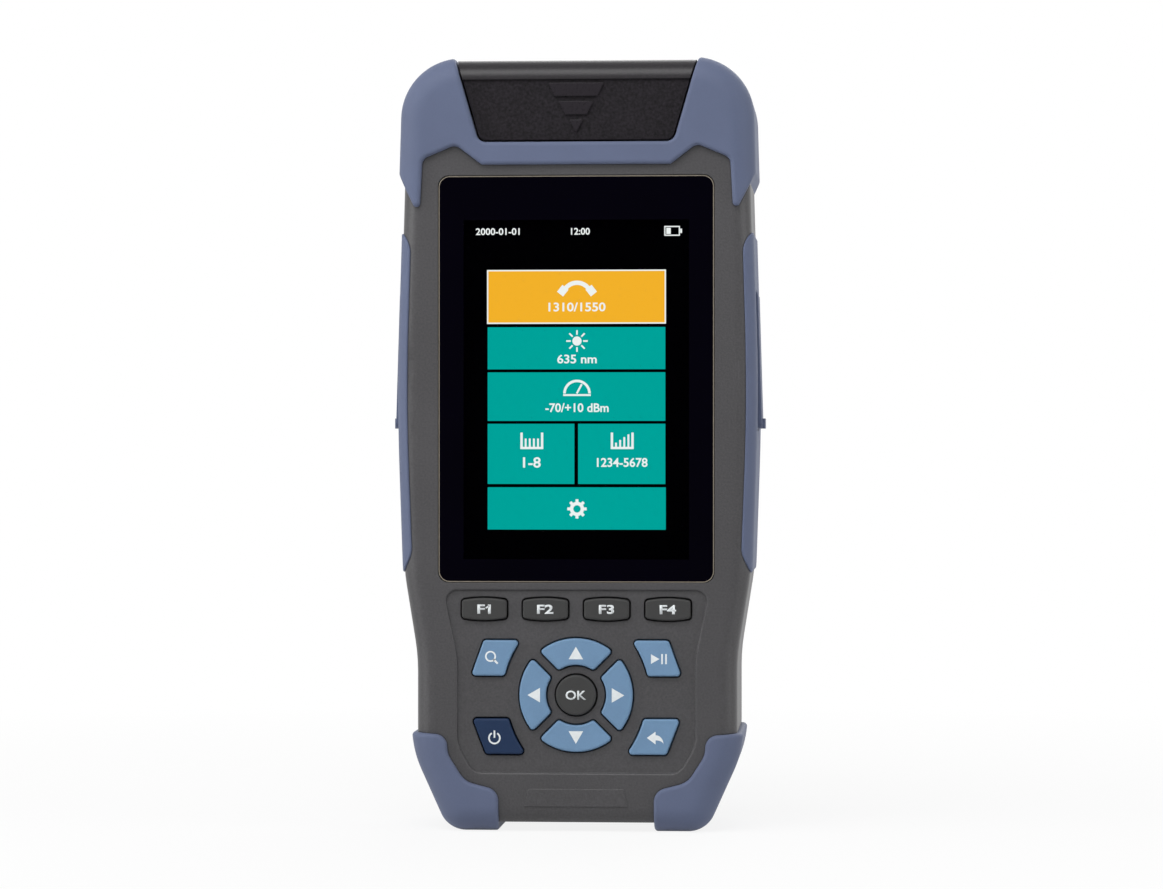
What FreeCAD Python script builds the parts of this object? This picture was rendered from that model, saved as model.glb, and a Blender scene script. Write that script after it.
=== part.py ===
# Handheld optical fibre tester: a two-part grey case with soft bumpers and grips, a colour display,
# thirteen keys, a hinged dust cover over three optical ports and a rubber port flap on each side.
# It stands on its corner bumpers, +Z up, with the front facing -Y. Millimetres.
import FreeCAD, Part
import Sketcher
import math
import os
from types import SimpleNamespace

SIZES = (
    # Case outline, seen from the front
    ("window_width", 60.1, "window recess, across"),
    ("window_height", 88.4, "window recess, up"),
    ("window_round", 2.4, "window corner radius"),
    ("window_margin", 7.7, "window edge to the case side at the flare"),
    ("belly_bulge", 1.3, "belly beyond the flare, each side"),
    ("brow_taper", 0.85, "brow inside the flare, each side"),
    ("hip_inset", 2.9, "hip inside the flare, each side"),
    ("toe_inset", 7.55, "toe inside the hip, each side"),
    ("chin_height", 28.4, "case bottom to the arrow key centre"),
    ("soft_key_rise", 18.6, "arrow key centre to the soft key row"),
    ("window_gap", 2.98, "soft key holes to the window"),
    ("brow_height", 7.2, "window to the port bay floor"),
    ("bay_height", 17.3, "port bay floor to the case top"),
    ("hip_rise", 16.7, "case bottom to the hip corner"),
    ("waist_rise", 8.3, "arrow key centre to the waist corner"),
    ("flare_rise", 2.0, "window bottom to the flare corner"),
    ("belly_rise", 40.0, "window bottom to the belly corner"),
    ("toe_round", 4.8, "toe corner radius"),
    ("hip_round", 22.0, "hip corner radius"),
    ("waist_round", 44.0, "waist and flare corner radius"),
    ("belly_round", 500.0, "belly radius"),
    ("brow_round", 12.0, "top corner radius"),
    ("edge_round", 4.2, "front and back edge radius"),
    # Shells
    ("case_wall", 2.8, "side wall of both shells"),
    ("cavity_round", 2.0, "inner corner radius of both shells"),
    ("front_shell_depth", 24.0, "front plane to the parting plane"),
    ("bay_floor_wall", 2.4, "wall under the port bay"),
    ("foot_relief", 0.7, "bottom relief between the feet"),
    ("chin_mark_half", 10.4, "raised chin mark, half its top edge"),
    ("chin_mark_height", 3.8, "raised chin mark, up"),
    ("chin_mark_flare", 0.8, "raised chin mark, widening at its lower edge"),
    ("chin_mark_rise", 0.2, "raised chin mark, out of the front"),
    ("chin_mark_round", 0.5, "raised chin mark, upper corner radius"),
    # Bumpers and grips
    ("bumper_proud", 1.3, "bumper out of the case"),
    ("bumper_edge_round", 0.8, "outer edge radius of the bumpers"),
    ("inlay", 1.2, "bumper and grip into the case"),
    ("grip_proud", 0.4, "side grip out of the case"),
    ("grip_edge_round", 0.3, "outer edge radius of the side grips"),
    ("grip_wrap", 2.0, "side grip round the front edge"),
    ("grip_end_rise", 4.4, "side grip end above the flare corner"),
    ("grip_end_drop", 14.7, "side grip end below the window top"),
    ("grip_low_slant", 19.0, "fall of the lower grip end, out to the clear bounds"),
    ("grip_high_slant", 9.8, "rise of the upper grip end, out to the clear bounds"),
    ("grip_end_round", 6.0, "corner radius of the side grip ends"),
    ("bar_height", 4.9, "top bumper bar under the port bay"),
    ("bar_half", 20.5, "half length of the top bumper bar"),
    ("ear_peak_half", 26.2, "arch between bar and ear, half its span"),
    ("ear_peak_drop", 0.6, "arch below the port bay floor"),
    ("ear_leg_half", 33.4, "inner side of the ear leg"),
    ("ear_leg_drop", 3.6, "ear shoulder below the port bay floor"),
    ("ear_tip_drop", 16.3, "ear tip below the port bay floor"),
    ("ear_tip_lean", 0.7, "ear tip outside the leg"),
    ("ear_slant", 20.5, "rise of the outer slant of the ear"),
    ("ear_round", 2.0, "corner radius of the arch and the ear"),
    ("ear_tip_round", 0.8, "corner radius of the bar end and the ear tip"),
    ("foot_inner_half", 16.9, "inner end of each foot"),
    ("foot_step", 7.7, "height of the inner end of a corner bumper"),
    ("corner_knee_half", 24.2, "knee of a corner bumper"),
    ("corner_knee_rise", 9.6, "knee height of a corner bumper"),
    ("corner_top_half", 28.0, "upper inner side of a corner bumper"),
    ("corner_hip_rise", 15.6, "lower end of that side"),
    ("corner_top_rise", 19.7, "upper end of that side"),
    ("corner_top_slant", 1.0, "rise of the upper edge towards the outside"),
    ("corner_top_round", 2.8, "upper corner radius of a corner bumper"),
    ("corner_round", 5.0, "knee and hip radius of a corner bumper"),
    ("foot_round", 3.0, "inner corner radius of a corner bumper"),
    # Window and display
    ("lens_thickness", 1.4, "window lens"),
    ("lens_gap", 0.15, "lens to its recess"),
    ("lens_edge_round", 0.35, "front edge of the lens"),
    ("gasket_thickness", 0.4, "gasket under the lens"),
    ("gasket_inset", 0.4, "gasket inside the lens edge"),
    ("ledge_thickness", 1.2, "shell ledge under the gasket"),
    ("display_view_width", 51.2, "opening over the display"),
    ("display_view_height", 75.6, "opening over the display"),
    ("display_drop", 2.3, "display centre below the window centre"),
    ("display_frame", 1.7, "display panel past its opening, each side"),
    ("display_tail", 3.8, "display panel past its opening, each end"),
    ("panel_thickness", 1.6, "display panel"),
    ("backlight_thickness", 1.8, "backlight behind the panel"),
    ("display_gap", 0.1, "display panel to the shell ledge"),
    # Keys
    ("panel_recess", 0.6, "key panel below the front"),
    ("panel_rim_round", 0.5, "rim of the key panel"),
    ("panel_margin", 3.6, "soft keys to the panel side"),
    ("panel_head", 1.3, "soft keys to the panel top"),
    ("panel_flank", 2.5, "corner keys to the panel side"),
    ("panel_foot", 3.7, "corner keys to the panel bottom"),
    ("panel_foot_round", 3.5, "lower corner radius of the panel"),
    ("panel_flank_round", 8.0, "radius of the panel side above the lower corner"),
    ("panel_waist_round", 25.0, "radius of the panel waist"),
    ("panel_head_round", 2.4, "upper corner radius of the panel"),
    ("soft_key_pitch", 13.3, "soft key spacing"),
    ("soft_key_width", 10.4, "soft key hole"),
    ("soft_key_height", 5.45, "soft key hole, with its bowed edges"),
    ("soft_key_bow", 0.5, "rise of the bowed edges"),
    ("ok_radius", 4.68, "OK key hole"),
    ("arrow_inner", 6.25, "arrow key holes, inner radius"),
    ("arrow_outer", 12.6, "arrow key holes, outer radius"),
    ("arrow_web", 1.7, "web between arrow key holes"),
    ("corner_key_height", 8.3, "search, play, power and return key holes"),
    ("corner_key_rise", 8.0, "upper corner keys above the arrow centre"),
    ("corner_key_drop", 9.0, "lower corner keys below the arrow centre"),
    ("high_key_near", 11.55, "upper corner keys, least distance from the centre line"),
    ("high_key_near_lean", 3.8, "upper corner keys, lean of the inner side"),
    ("high_key_far", 20.25, "upper corner keys, top of the outer side"),
    ("high_key_far_lean", 3.0, "upper corner keys, lean of the outer side"),
    ("low_key_near", 10.35, "lower corner keys, least distance from the centre line"),
    ("low_key_near_lean", 4.1, "lower corner keys, lean of the inner side"),
    ("low_key_far", 19.8, "lower corner keys, bottom of the outer side"),
    ("low_key_far_lean", 3.2, "lower corner keys, lean of the outer side"),
    ("corner_key_hollow", 0.45, "corner keys, hollow of the inner side"),
    ("key_gap", 0.3, "key to its hole"),
    ("key_round", 1.0, "key corner radius"),
    ("key_crown_round", 0.45, "key top edge radius"),
    ("key_proud", 1.0, "key out of its panel"),
    ("key_lip", 0.5, "key flange past its hole"),
    ("key_flange", 1.0, "key flange thickness"),
    ("key_rest_gap", 0.15, "key flange behind the panel at rest"),
    ("key_travel", 0.9, "key stroke"),
    ("key_press_gap", 0.3, "key to the mat at full stroke"),
    ("mat_sheet", 0.8, "keypad mat sheet"),
    ("mat_button", 0.6, "buttons on the keypad mat"),
    ("mat_button_radius", 2.4, "buttons on the keypad mat"),
    ("mat_margin", 1.2, "keypad mat inside the key panel outline"),
    ("dome_radius", 2.2, "dome switch"),
    ("dome_thickness", 0.3, "dome switch"),
    ("dome_gap", 0.2, "dome switch to the mat"),
    # Main board
    ("board_thickness", 1.6, "main board"),
    ("board_side_gap", 0.85, "main board to the hip wall"),
    ("board_foot_half", 22.0, "half width of the lower edge of the board"),
    ("board_foot_rise", 11.3, "case bottom to the board"),
    ("board_shoulder_rise", 22.7, "case bottom to the full width of the board"),
    ("board_top_drop", 11.4, "board below the window top"),
    ("board_round", 1.0, "board corner radius"),
    ("board_post_radius", 1.8, "posts that carry the board"),
    ("board_post_inset", 1.9, "post axis to the board side"),
    ("board_post_low", 8.0, "lower posts above the window bottom"),
    ("board_post_high", 16.4, "upper posts below the window top"),
    ("board_screw_radius", 0.95, "board screw shank"),
    ("board_screw_head", 1.75, "board screw head radius"),
    ("board_screw_crown", 1.3, "board screw head height"),
    ("board_screw_bite", 2.6, "board screw in its post"),
    ("screw_gap", 0.1, "screw to its hole"),
    ("pilot_end", 0.6, "screw hole past the screw tip"),
    ("component_room", 8.75, "main board to the battery bay"),
    ("buzzer_radius", 6.0, "buzzer"),
    ("buzzer_height", 5.0, "buzzer"),
    ("buzzer_side", 12.0, "buzzer off the centre line"),
    ("buzzer_rise", 30.0, "buzzer above the window bottom"),
    # Battery
    ("battery_diameter", 18.6, "one cell with its sleeve"),
    ("battery_length", 66.0, "battery pack, up"),
    ("battery_rise", 16.0, "battery centre above the window bottom"),
    ("battery_gap", 0.4, "battery to its bay"),
    ("battery_wall", 1.5, "battery bay wall"),
    ("battery_flat", 0.4, "flat down each side of the battery sleeve"),
    ("battery_bay_round", 1.0, "battery bay corner radius"),
    ("door_thickness", 2.0, "battery door"),
    ("door_gap", 0.25, "battery door to its recess"),
    ("door_side", 3.4, "battery door past the bay, each side"),
    ("door_end", 8.0, "battery door past the bay, each end"),
    ("door_round", 3.0, "battery door corner radius"),
    ("door_ledge", 2.0, "shell under the battery door"),
    ("rib_pitch", 2.0, "finger grooves of the battery door"),
    ("rib_length", 14.0, "finger grooves of the battery door, across"),
    ("rib_depth", 0.5, "finger grooves of the battery door"),
    ("rib_drop", 4.0, "bay end to the first finger groove"),
    ("door_screw_radius", 1.2, "battery door screw shank"),
    ("door_screw_head", 2.2, "battery door screw head radius"),
    ("door_screw_crown", 1.2, "battery door screw head height"),
    ("door_screw_bite", 5.0, "battery door screw below the door"),
    # Case screws
    ("case_screw_radius", 1.3, "case screw shank"),
    ("case_screw_head", 2.3, "case screw head radius"),
    ("case_screw_crown", 1.8, "case screw head height"),
    ("case_screw_sink", 9.0, "case screw head below the back"),
    ("case_screw_bite", 8.0, "case screw in the front shell"),
    ("case_post_wall", 1.5, "wall of a case screw post"),
    ("case_screw_low_half", 14.5, "lower case screws off the centre line"),
    ("case_screw_low_rise", 6.9, "lower case screws above the case bottom"),
    ("case_screw_high_half", 30.8, "upper case screws off the centre line"),
    ("case_screw_high_drop", 12.1, "upper case screws below the bay floor"),
    # Port bay and dust cover
    ("bay_half", 21.2, "half width of the bay floor"),
    ("bay_flare", 5.0, "widening of the bay up to the case top, each side"),
    ("bay_round", 2.2, "bay floor corner radius"),
    ("bay_rear_wall", 3.0, "wall behind the bay"),
    ("hinge_zone", 11.0, "back plane to the end of the hinge zone"),
    ("cover_crown", 0.7, "dust cover above the case top"),
    ("cover_wall", 2.0, "dust cover wall"),
    ("cover_gap", 0.4, "dust cover to the case"),
    ("cover_bead_height", 4.4, "rolled bead along the cover top"),
    ("cover_panel_step", 0.5, "cover front below its bead"),
    ("cover_mark_rise", 0.5, "raised finger marks"),
    ("cover_mark_height", 2.9, "one finger mark, up"),
    ("cover_mark_pitch", 4.0, "finger mark spacing"),
    ("cover_mark_half", 6.1, "widest finger mark, half its top edge"),
    ("cover_mark_taper", 1.45, "slant of the finger marks, each"),
    ("cover_mark_step", 2.3, "each finger mark narrower than the last, half"),
    ("cover_mark_drop", 0.8, "first finger mark below the bead"),
    ("cover_mark_round", 0.2, "finger mark corner radius"),
    ("hinge_radius", 4.6, "dust cover barrel"),
    ("hinge_pin_radius", 1.0, "hinge pin"),
    ("hinge_pin_gap", 0.05, "hinge pin in the cover"),
    ("hinge_pin_seat_gap", 0.02, "hinge pin in the case"),
    ("hinge_pin_bite", 2.6, "hinge pin in the case, each end"),
    ("hinge_wall_drop", 2.2, "rear wall top below the hinge axis"),
    # Optical ports
    ("plate_thickness", 1.6, "port plate"),
    ("plate_front_gap", 1.0, "port plate to the cover front wall"),
    ("plate_depth", 25.0, "port plate, front to back"),
    ("plate_round", 1.5, "port plate corner radius"),
    ("plate_screw_radius", 0.9, "port plate screw shank"),
    ("plate_screw_head", 1.7, "port plate screw head radius"),
    ("plate_screw_crown", 1.0, "port plate screw head height"),
    ("plate_screw_bite", 2.2, "port plate screw below the plate"),
    ("plate_screw_margin", 5.7, "port plate screws to the end of the bay floor"),
    ("plate_screw_ahead", 8.5, "port plate screws in front of the ports"),
    ("port_margin", 8.7, "outer port axes to the end of the bay floor"),
    ("port_depth", 16.5, "front plane to the port axes"),
    ("port_bore", 1.26, "sleeve bore radius for a 2.5 mm ferrule"),
    ("port_bore_depth", 9.2, "sleeve bore below the barrel top"),
    ("port_chamber", 1.9, "light chamber radius below the sleeve bore"),
    ("port_neck", 4.2, "port body radius below the plate"),
    ("port_neck_gap", 0.2, "port body to its holes"),
    ("port_neck_length", 9.0, "port body below the bay floor"),
    ("port_flange", 5.3, "port flange radius"),
    ("port_flange_height", 2.0, "port flange"),
    ("port_barrel_height", 7.0, "port barrel above its flange"),
    ("port_edge_round", 0.4, "edge radius of the port flange and barrel"),
    ("port_lead", 0.5, "lead-in of the sleeve bore"),
    ("talk_barrel", 4.0, "talk set port barrel radius"),
    ("meter_barrel", 4.6, "power meter port barrel radius"),
    ("locator_barrel", 3.4, "fault locator port barrel radius"),
    ("talk_module_width", 11.0, "talk set module, across"),
    ("talk_module_height", 18.0, "talk set module, up"),
    ("talk_module_depth", 13.0, "talk set module, front to back"),
    ("photodiode_radius", 4.4, "photodiode can"),
    ("photodiode_height", 8.0, "photodiode can"),
    ("laser_radius", 3.6, "fault locator laser"),
    ("laser_height", 16.0, "fault locator laser"),
    # Side ports and flaps
    ("flap_proud", 0.45, "flap out of the side grip"),
    ("flap_length", 29.8, "flap, up"),
    ("flap_depth", 15.0, "flap, front to back"),
    ("flap_rise", 33.5, "flap bottom above the window bottom"),
    ("flap_gap", 0.3, "flap to the side grip"),
    ("flap_seat_gap", 0.15, "flap to the shell"),
    ("flap_round", 2.0, "flap corner radius"),
    ("flap_tab", 0.6, "pull tab out of the flap"),
    ("flap_tab_height", 2.2, "pull tab, up"),
    ("flap_tab_depth", 8.0, "pull tab, front to back"),
    ("flap_plug", 1.0, "plug behind the flap"),
    ("flap_plug_gap", 0.45, "plug to the wall opening"),
    ("socket_recess", 1.5, "socket faces below the flap seat"),
    ("socket_gap", 0.25, "socket to the wall opening"),
    ("socket_round", 0.6, "corner radius of the wall openings"),
    ("jack_width", 16.0, "network jack, up"),
    ("jack_height", 13.2, "network jack, front to back"),
    ("jack_depth", 13.6, "network jack, into the case"),
    ("jack_mouth_width", 11.8, "network jack mouth, up"),
    ("jack_mouth_height", 7.0, "network jack mouth, front to back"),
    ("jack_mouth_depth", 11.8, "network jack mouth, into the case"),
    ("jack_mouth_floor", 2.6, "network jack floor under its mouth"),
    ("jack_latch_width", 6.2, "latch slot of the network jack"),
    ("jack_latch_height", 1.6, "latch slot of the network jack"),
    ("contact_pitch", 1.02, "network jack contacts"),
    ("contact_width", 0.45, "network jack contacts"),
    ("contact_length", 8.0, "network jack contacts"),
    ("contact_height", 0.5, "network jack contacts"),
    ("usb_width", 9.0, "charging socket, up"),
    ("usb_height", 3.2, "charging socket, front to back"),
    ("usb_depth", 7.6, "charging socket, into the case"),
    ("usb_wall", 0.35, "charging socket shell"),
    ("usb_flat", 0.64, "flat at each end of the charging socket"),
    ("usb_mouth_depth", 6.4, "charging socket mouth"),
    ("usb_tongue_width", 6.6, "charging socket tongue"),
    ("usb_tongue_thickness", 0.7, "charging socket tongue"),
    ("usb_tongue_length", 5.0, "charging socket tongue"),
)

doc = FreeCAD.newDocument("fibre_tester")
sheet = doc.addObject("Spreadsheet::Sheet", "Sizes")
for row, (alias, number, note) in enumerate(SIZES, start=1):
    sheet.set(f"A{row}", note)
    sheet.set(f"B{row}", str(number))
    sheet.setAlias(f"B{row}", alias)
doc.recompute()


def text(value):
    return value.text if isinstance(value, Size) else repr(float(value))


class Size:
    """A length kept as sheet text, so that sums of sizes stay bound to the cells they came from."""

    def __init__(self, words):
        self.text = words

    def __add__(self, other):
        return Size(f"({self.text} + {text(other)})")

    def __radd__(self, other):
        return Size(f"({text(other)} + {self.text})")

    def __sub__(self, other):
        return Size(f"({self.text} - {text(other)})")

    def __rsub__(self, other):
        return Size(f"({text(other)} - {self.text})")

    def __mul__(self, other):
        return Size(f"({self.text} * {text(other)})")

    def __rmul__(self, other):
        return Size(f"({text(other)} * {self.text})")

    def __truediv__(self, other):
        return Size(f"({self.text} / {text(other)})")

    def __neg__(self):
        return Size(f"(0 - {self.text})")

    def root(self):
        return Size(f"sqrt({self.text})")

    def __float__(self):
        return float(sheet.evalExpression(self.text))


size = SimpleNamespace(**{alias: Size(f"Sizes.{alias}") for alias, number, note in SIZES})


def bind(target, setting, value):
    target.setExpression(setting, text(value))


# Sketches


def new_body(label):
    body = doc.addObject("PartDesign::Body", label)
    body.Label = label
    return body


def new_sketch(body, name, role="XZ_Plane", offset=0, across=0, up=0):
    """A sketch on one of the body's own planes. On XZ_Plane the offset counts towards the front."""
    sketch = body.newObject("Sketcher::SketchObject", f"{body.Name}_{name}")
    plane = next(item for item in body.Origin.OriginFeatures if item.Role == role)
    sketch.AttachmentSupport = (plane, [""])
    sketch.MapMode = "FlatFace"
    for axis, value in (("x", across), ("y", up), ("z", offset)):
        bind(sketch, f"AttachmentOffset.Base.{axis}", value)
    return sketch


class Rules:
    """Constraints of one outline, added to its sketch in one go and then bound to their sizes."""

    def __init__(self, sketch):
        self.sketch = sketch
        self.constraints = []
        self.values = []

    def relate(self, kind, *where):
        self.constraints.append(Sketcher.Constraint(kind, *where))
        self.values.append(None)

    def fix(self, kind, value, *where):
        self.constraints.append(Sketcher.Constraint(kind, *where, float(value)))
        self.values.append(value)

    def fix_point(self, item, end, x, y):
        self.fix("DistanceX", x, -1, 1, item, end)
        self.fix("DistanceY", y, -1, 1, item, end)

    def apply(self):
        first = self.sketch.ConstraintCount
        self.sketch.addConstraint(self.constraints)
        for index, value in enumerate(self.values, start=first):
            if value is not None:
                bind(self.sketch, f"Constraints[{index}]", value)


def rounded_outline(sketch, corners):
    """A closed outline through (x, y, radius) corners. A radius of 0 leaves its corner sharp."""
    points = [FreeCAD.Vector(float(x), float(y), 0) for x, y, radius in corners]
    radii = [float(radius) for x, y, radius in corners]
    arrive, leave, turns = [], [], []
    for index, point in enumerate(points):
        inward = (point - points[index - 1]).normalize()
        onward = (points[(index + 1) % len(points)] - point).normalize()
        turn = math.atan2(inward.x * onward.y - inward.y * onward.x, inward.dot(onward))
        reach = radii[index] * math.tan(abs(turn) / 2)
        arrive.append(point - inward * reach)
        leave.append(point + onward * reach)
        turns.append((turn, inward))
    rules = Rules(sketch)
    lines = []
    for index in range(len(points)):
        end = arrive[(index + 1) % len(points)]
        lines.append(sketch.addGeometry(Part.LineSegment(leave[index], end)))
    for index, (x, y, radius) in enumerate(corners):
        before, after = lines[index - 1], lines[index]
        if radii[index] == 0:
            rules.relate("Coincident", before, 2, after, 1)
            rules.fix_point(after, 1, x, y)
            continue
        turn, inward = turns[index]
        side = FreeCAD.Vector(-inward.y, inward.x, 0) * math.copysign(radii[index], turn)
        centre = arrive[index] + side
        ends = [arrive[index] - centre, leave[index] - centre]
        first, last = (0, 1) if turn > 0 else (1, 0)
        angles = [math.atan2(ends[which].y, ends[which].x) for which in (first, last)]
        circle = Part.Circle(centre, FreeCAD.Vector(0, 0, 1), radii[index])
        arc = sketch.addGeometry(Part.ArcOfCircle(circle, angles[0], angles[1]))
        corner = sketch.addGeometry(Part.Point(points[index]), True)
        rules.relate("Tangent", before, 2, arc, first + 1)
        rules.relate("Tangent", after, 1, arc, last + 1)
        rules.relate("PointOnObject", corner, 1, before)
        rules.relate("PointOnObject", corner, 1, after)
        rules.fix_point(corner, 1, x, y)
        rules.fix("Radius", radius, arc)
    rules.apply()


def bowed_outline(sketch, nodes):
    """A closed outline through (x, y, radius) nodes, listed anticlockwise. From each node an arc of that
    radius goes to the next: outwards if positive, hollow if negative, a straight line if 0."""
    points = [FreeCAD.Vector(float(x), float(y), 0) for x, y, radius in nodes]
    rules = Rules(sketch)
    items = []
    for index, (x, y, radius) in enumerate(nodes):
        start, end = points[index], points[(index + 1) % len(points)]
        bow = float(radius)
        if bow == 0:
            items.append((sketch.addGeometry(Part.LineSegment(start, end)), 1, 2))
            continue
        chord = end - start
        left = FreeCAD.Vector(-chord.y, chord.x, 0).normalize()
        reach = math.sqrt(bow * bow - chord.Length * chord.Length / 4)
        centre = (start + end) * 0.5 + left * math.copysign(reach, bow)
        first, last = (start, end) if bow > 0 else (end, start)
        angles = [math.atan2(point.y - centre.y, point.x - centre.x) for point in (first, last)]
        circle = Part.Circle(centre, FreeCAD.Vector(0, 0, 1), abs(bow))
        arc = sketch.addGeometry(Part.ArcOfCircle(circle, angles[0], angles[1]))
        rules.fix("Radius", radius if bow > 0 else -radius, arc)
        items.append((arc, 1, 2) if bow > 0 else (arc, 2, 1))
    for index, (x, y, radius) in enumerate(nodes):
        item, start, end = items[index]
        before, before_start, before_end = items[index - 1]
        rules.relate("Coincident", before, before_end, item, start)
        rules.fix_point(item, start, x, y)
    rules.apply()


def circle_outline(sketch, x, y, radius):
    middle = FreeCAD.Vector(float(x), float(y), 0)
    item = sketch.addGeometry(Part.Circle(middle, FreeCAD.Vector(0, 0, 1), float(radius)))
    rules = Rules(sketch)
    rules.fix_point(item, 3, x, y)
    rules.fix("Radius", radius, item)
    rules.apply()


def block_outline(sketch, x0, y0, x1, y1, radius=0):
    rounded_outline(sketch, [(x0, y0, radius), (x1, y0, radius), (x1, y1, radius), (x0, y1, radius)])


def mirrored(right):
    """The corners of a right half, from its lower end up, with the same corners on the left."""
    return right + [(-x, y, radius) for x, y, radius in reversed(right)]


# Features


def settle(body, feature, before, grows):
    """Recompute and make sure that the feature added or removed material."""
    doc.recompute()
    after = body.Shape.Volume
    if not feature.isValid() or (after <= before + 1e-6 if grows else after >= before - 1e-6):
        raise RuntimeError(f"{feature.Label} changed nothing: {before:.3f} to {after:.3f}")


def volume(body):
    return 0 if body.Shape.isNull() else body.Shape.Volume


def extrude(kind, body, sketch, length, symmetric, backwards):
    before = volume(body)
    feature = body.newObject(f"PartDesign::{kind}", f"{sketch.Name}_{kind.lower()}")
    feature.Profile = sketch
    feature.SideType = "Symmetric" if symmetric else "One side"
    feature.Reversed = backwards
    feature.Refine = False
    bind(feature, "Length", length)
    settle(body, feature, before, kind == "Pad")


def pad(body, sketch, length, symmetric=False, backwards=False):
    extrude("Pad", body, sketch, length, symmetric, backwards)


def pocket(body, sketch, length, symmetric=False, backwards=False):
    extrude("Pocket", body, sketch, length, symmetric, backwards)


def revolve(body, sketch):
    feature = body.newObject("PartDesign::Revolution", f"{sketch.Name}_turned")
    feature.Profile = sketch
    feature.ReferenceAxis = (sketch, ["V_Axis"])
    feature.Angle = 360
    settle(body, feature, 0, True)


def fillet(body, radius, chosen):
    """Round the edges of the body that the test picks."""
    base = body.Tip
    names = [f"Edge{index}" for index, edge in enumerate(base.Shape.Edges, start=1) if chosen(edge)]
    feature = body.newObject("PartDesign::Fillet", f"{base.Name}_round")
    feature.Base = (base, names)
    bind(feature, "Radius", radius)
    doc.recompute()
    if not names or not feature.isValid() or not feature.Shape.isValid():
        raise RuntimeError(f"{feature.Label} failed on {len(names)} edges")


def near(value, target):
    return abs(value - float(target)) < 1e-4


def in_plane_y(edge, y):
    return near(edge.BoundBox.YMin, y) and near(edge.BoundBox.YMax, y)


def along(edge, axis):
    """True for a straight edge that runs along the axis."""
    return edge.Curve.TypeId == "Part::GeomLine" and abs(abs(edge.Curve.Direction.dot(axis)) - 1) < 1e-6


X_AXIS = FreeCAD.Vector(1, 0, 0)
Y_AXIS = FreeCAD.Vector(0, 1, 0)


def combine(kind, label, base, tool):
    result = doc.addObject(f"Part::{kind}", label)
    result.Label = label
    result.Base = base
    result.Tool = tool
    doc.recompute()
    return result


def block(label, x, y, z, width, depth, height):
    """A box with its least corner at x, y, z."""
    box = doc.addObject("Part::Box", label)
    box.Label = label
    for setting, value in (("Length", width), ("Width", depth), ("Height", height)):
        bind(box, setting, value)
    place(box, x, y, z)
    return box


def place(item, x, y, z):
    for axis, value in (("x", x), ("y", y), ("z", z)):
        bind(item, f"Placement.Base.{axis}", value)


def drum(label, x, y, z, radius, height):
    """An upright cylinder standing at x, y, z."""
    cylinder = doc.addObject("Part::Cylinder", label)
    cylinder.Label = label
    bind(cylinder, "Radius", radius)
    bind(cylinder, "Height", height)
    place(cylinder, x, y, z)
    return cylinder


# Heights above the feet
case_bottom = size.bumper_proud
pad_z = case_bottom + size.chin_height
soft_z = pad_z + size.soft_key_rise
window_z0 = soft_z + size.soft_key_height / 2 + size.window_gap
window_z1 = window_z0 + size.window_height
bay_z = window_z1 + size.brow_height
case_top = bay_z + size.bay_height
hip_z = case_bottom + size.hip_rise
waist_z = pad_z + size.waist_rise
flare_z = window_z0 + size.flare_rise
belly_z = window_z0 + size.belly_rise
display_z = (window_z0 + window_z1) / 2 - size.display_drop

# Half widths
flare_half = size.window_width / 2 + size.window_margin
belly_half = flare_half + size.belly_bulge
brow_half = flare_half - size.brow_taper
hip_half = flare_half - size.hip_inset
toe_half = hip_half - size.toe_inset


def side_half(z):
    """Half width of the case on the straight side above the belly."""
    return belly_half - (z - belly_z) * ((belly_half - brow_half) / (case_top - belly_z))


# Depths, counted from the front plane towards the back
front_wall = size.lens_thickness + size.gasket_thickness + size.ledge_thickness
key_back = front_wall + size.key_rest_gap + size.key_flange
mat_front = key_back + size.key_travel + size.key_press_gap
board_front = mat_front + size.mat_button + size.mat_sheet
board_back = board_front + size.board_thickness
bay_block_front = board_back + size.component_room
battery_front = bay_block_front + size.battery_wall
case_depth = battery_front + size.battery_diameter + 2 * size.battery_gap + size.door_thickness
rear_shell_depth = case_depth - size.front_shell_depth
rear_wall = size.door_thickness + size.door_ledge

# Sketch offsets towards the front, from the middle of the case
front = case_depth / 2
parting = front - size.front_shell_depth


def case_corners():
    right = [
        (toe_half, case_bottom, size.toe_round),
        (hip_half, hip_z, size.hip_round),
        (hip_half, waist_z, size.waist_round),
        (flare_half, flare_z, size.waist_round),
        (belly_half, belly_z, size.belly_round),
        (brow_half, case_top, size.brow_round),
    ]
    return mirrored(right)


def cavity_corners():
    wall = size.case_wall
    right = [
        (toe_half - wall, case_bottom + wall, size.cavity_round),
        (hip_half - wall, hip_z, size.hip_round),
        (hip_half - wall, waist_z, size.waist_round),
        (flare_half - wall, flare_z, size.waist_round),
        (belly_half - wall, belly_z, size.belly_round),
        (side_half(bay_z) - wall, bay_z - size.bay_floor_wall, size.cavity_round),
    ]
    return mirrored(right)


def bay_corners():
    """The flared opening for the dust cover, run on to twice the height of the bay."""
    right = [
        (size.bay_half, bay_z, size.bay_round),
        (size.bay_half + 2 * size.bay_flare, bay_z + 2 * size.bay_height, 0),
    ]
    return mirrored(right)


# Whole case form, and the same form shrunk and grown, from which the soft skins are cut
case_form = new_body("case_form")
case_form_outline = new_sketch(case_form, "outline")
rounded_outline(case_form_outline, case_corners())
pad(case_form, case_form_outline, case_depth, symmetric=True)
fillet(case_form, size.edge_round, lambda edge: in_plane_y(edge, front) or in_plane_y(edge, -front))


def offset_form(label, distance):
    form = doc.addObject("Part::Offset", label)
    form.Source = case_form
    bind(form, "Value", distance)
    doc.recompute()
    return form


seat_form = offset_form("seat_form", -size.inlay)
bumper_form = offset_form("bumper_form", size.bumper_proud)
grip_form = offset_form("grip_form", size.grip_proud)


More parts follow.
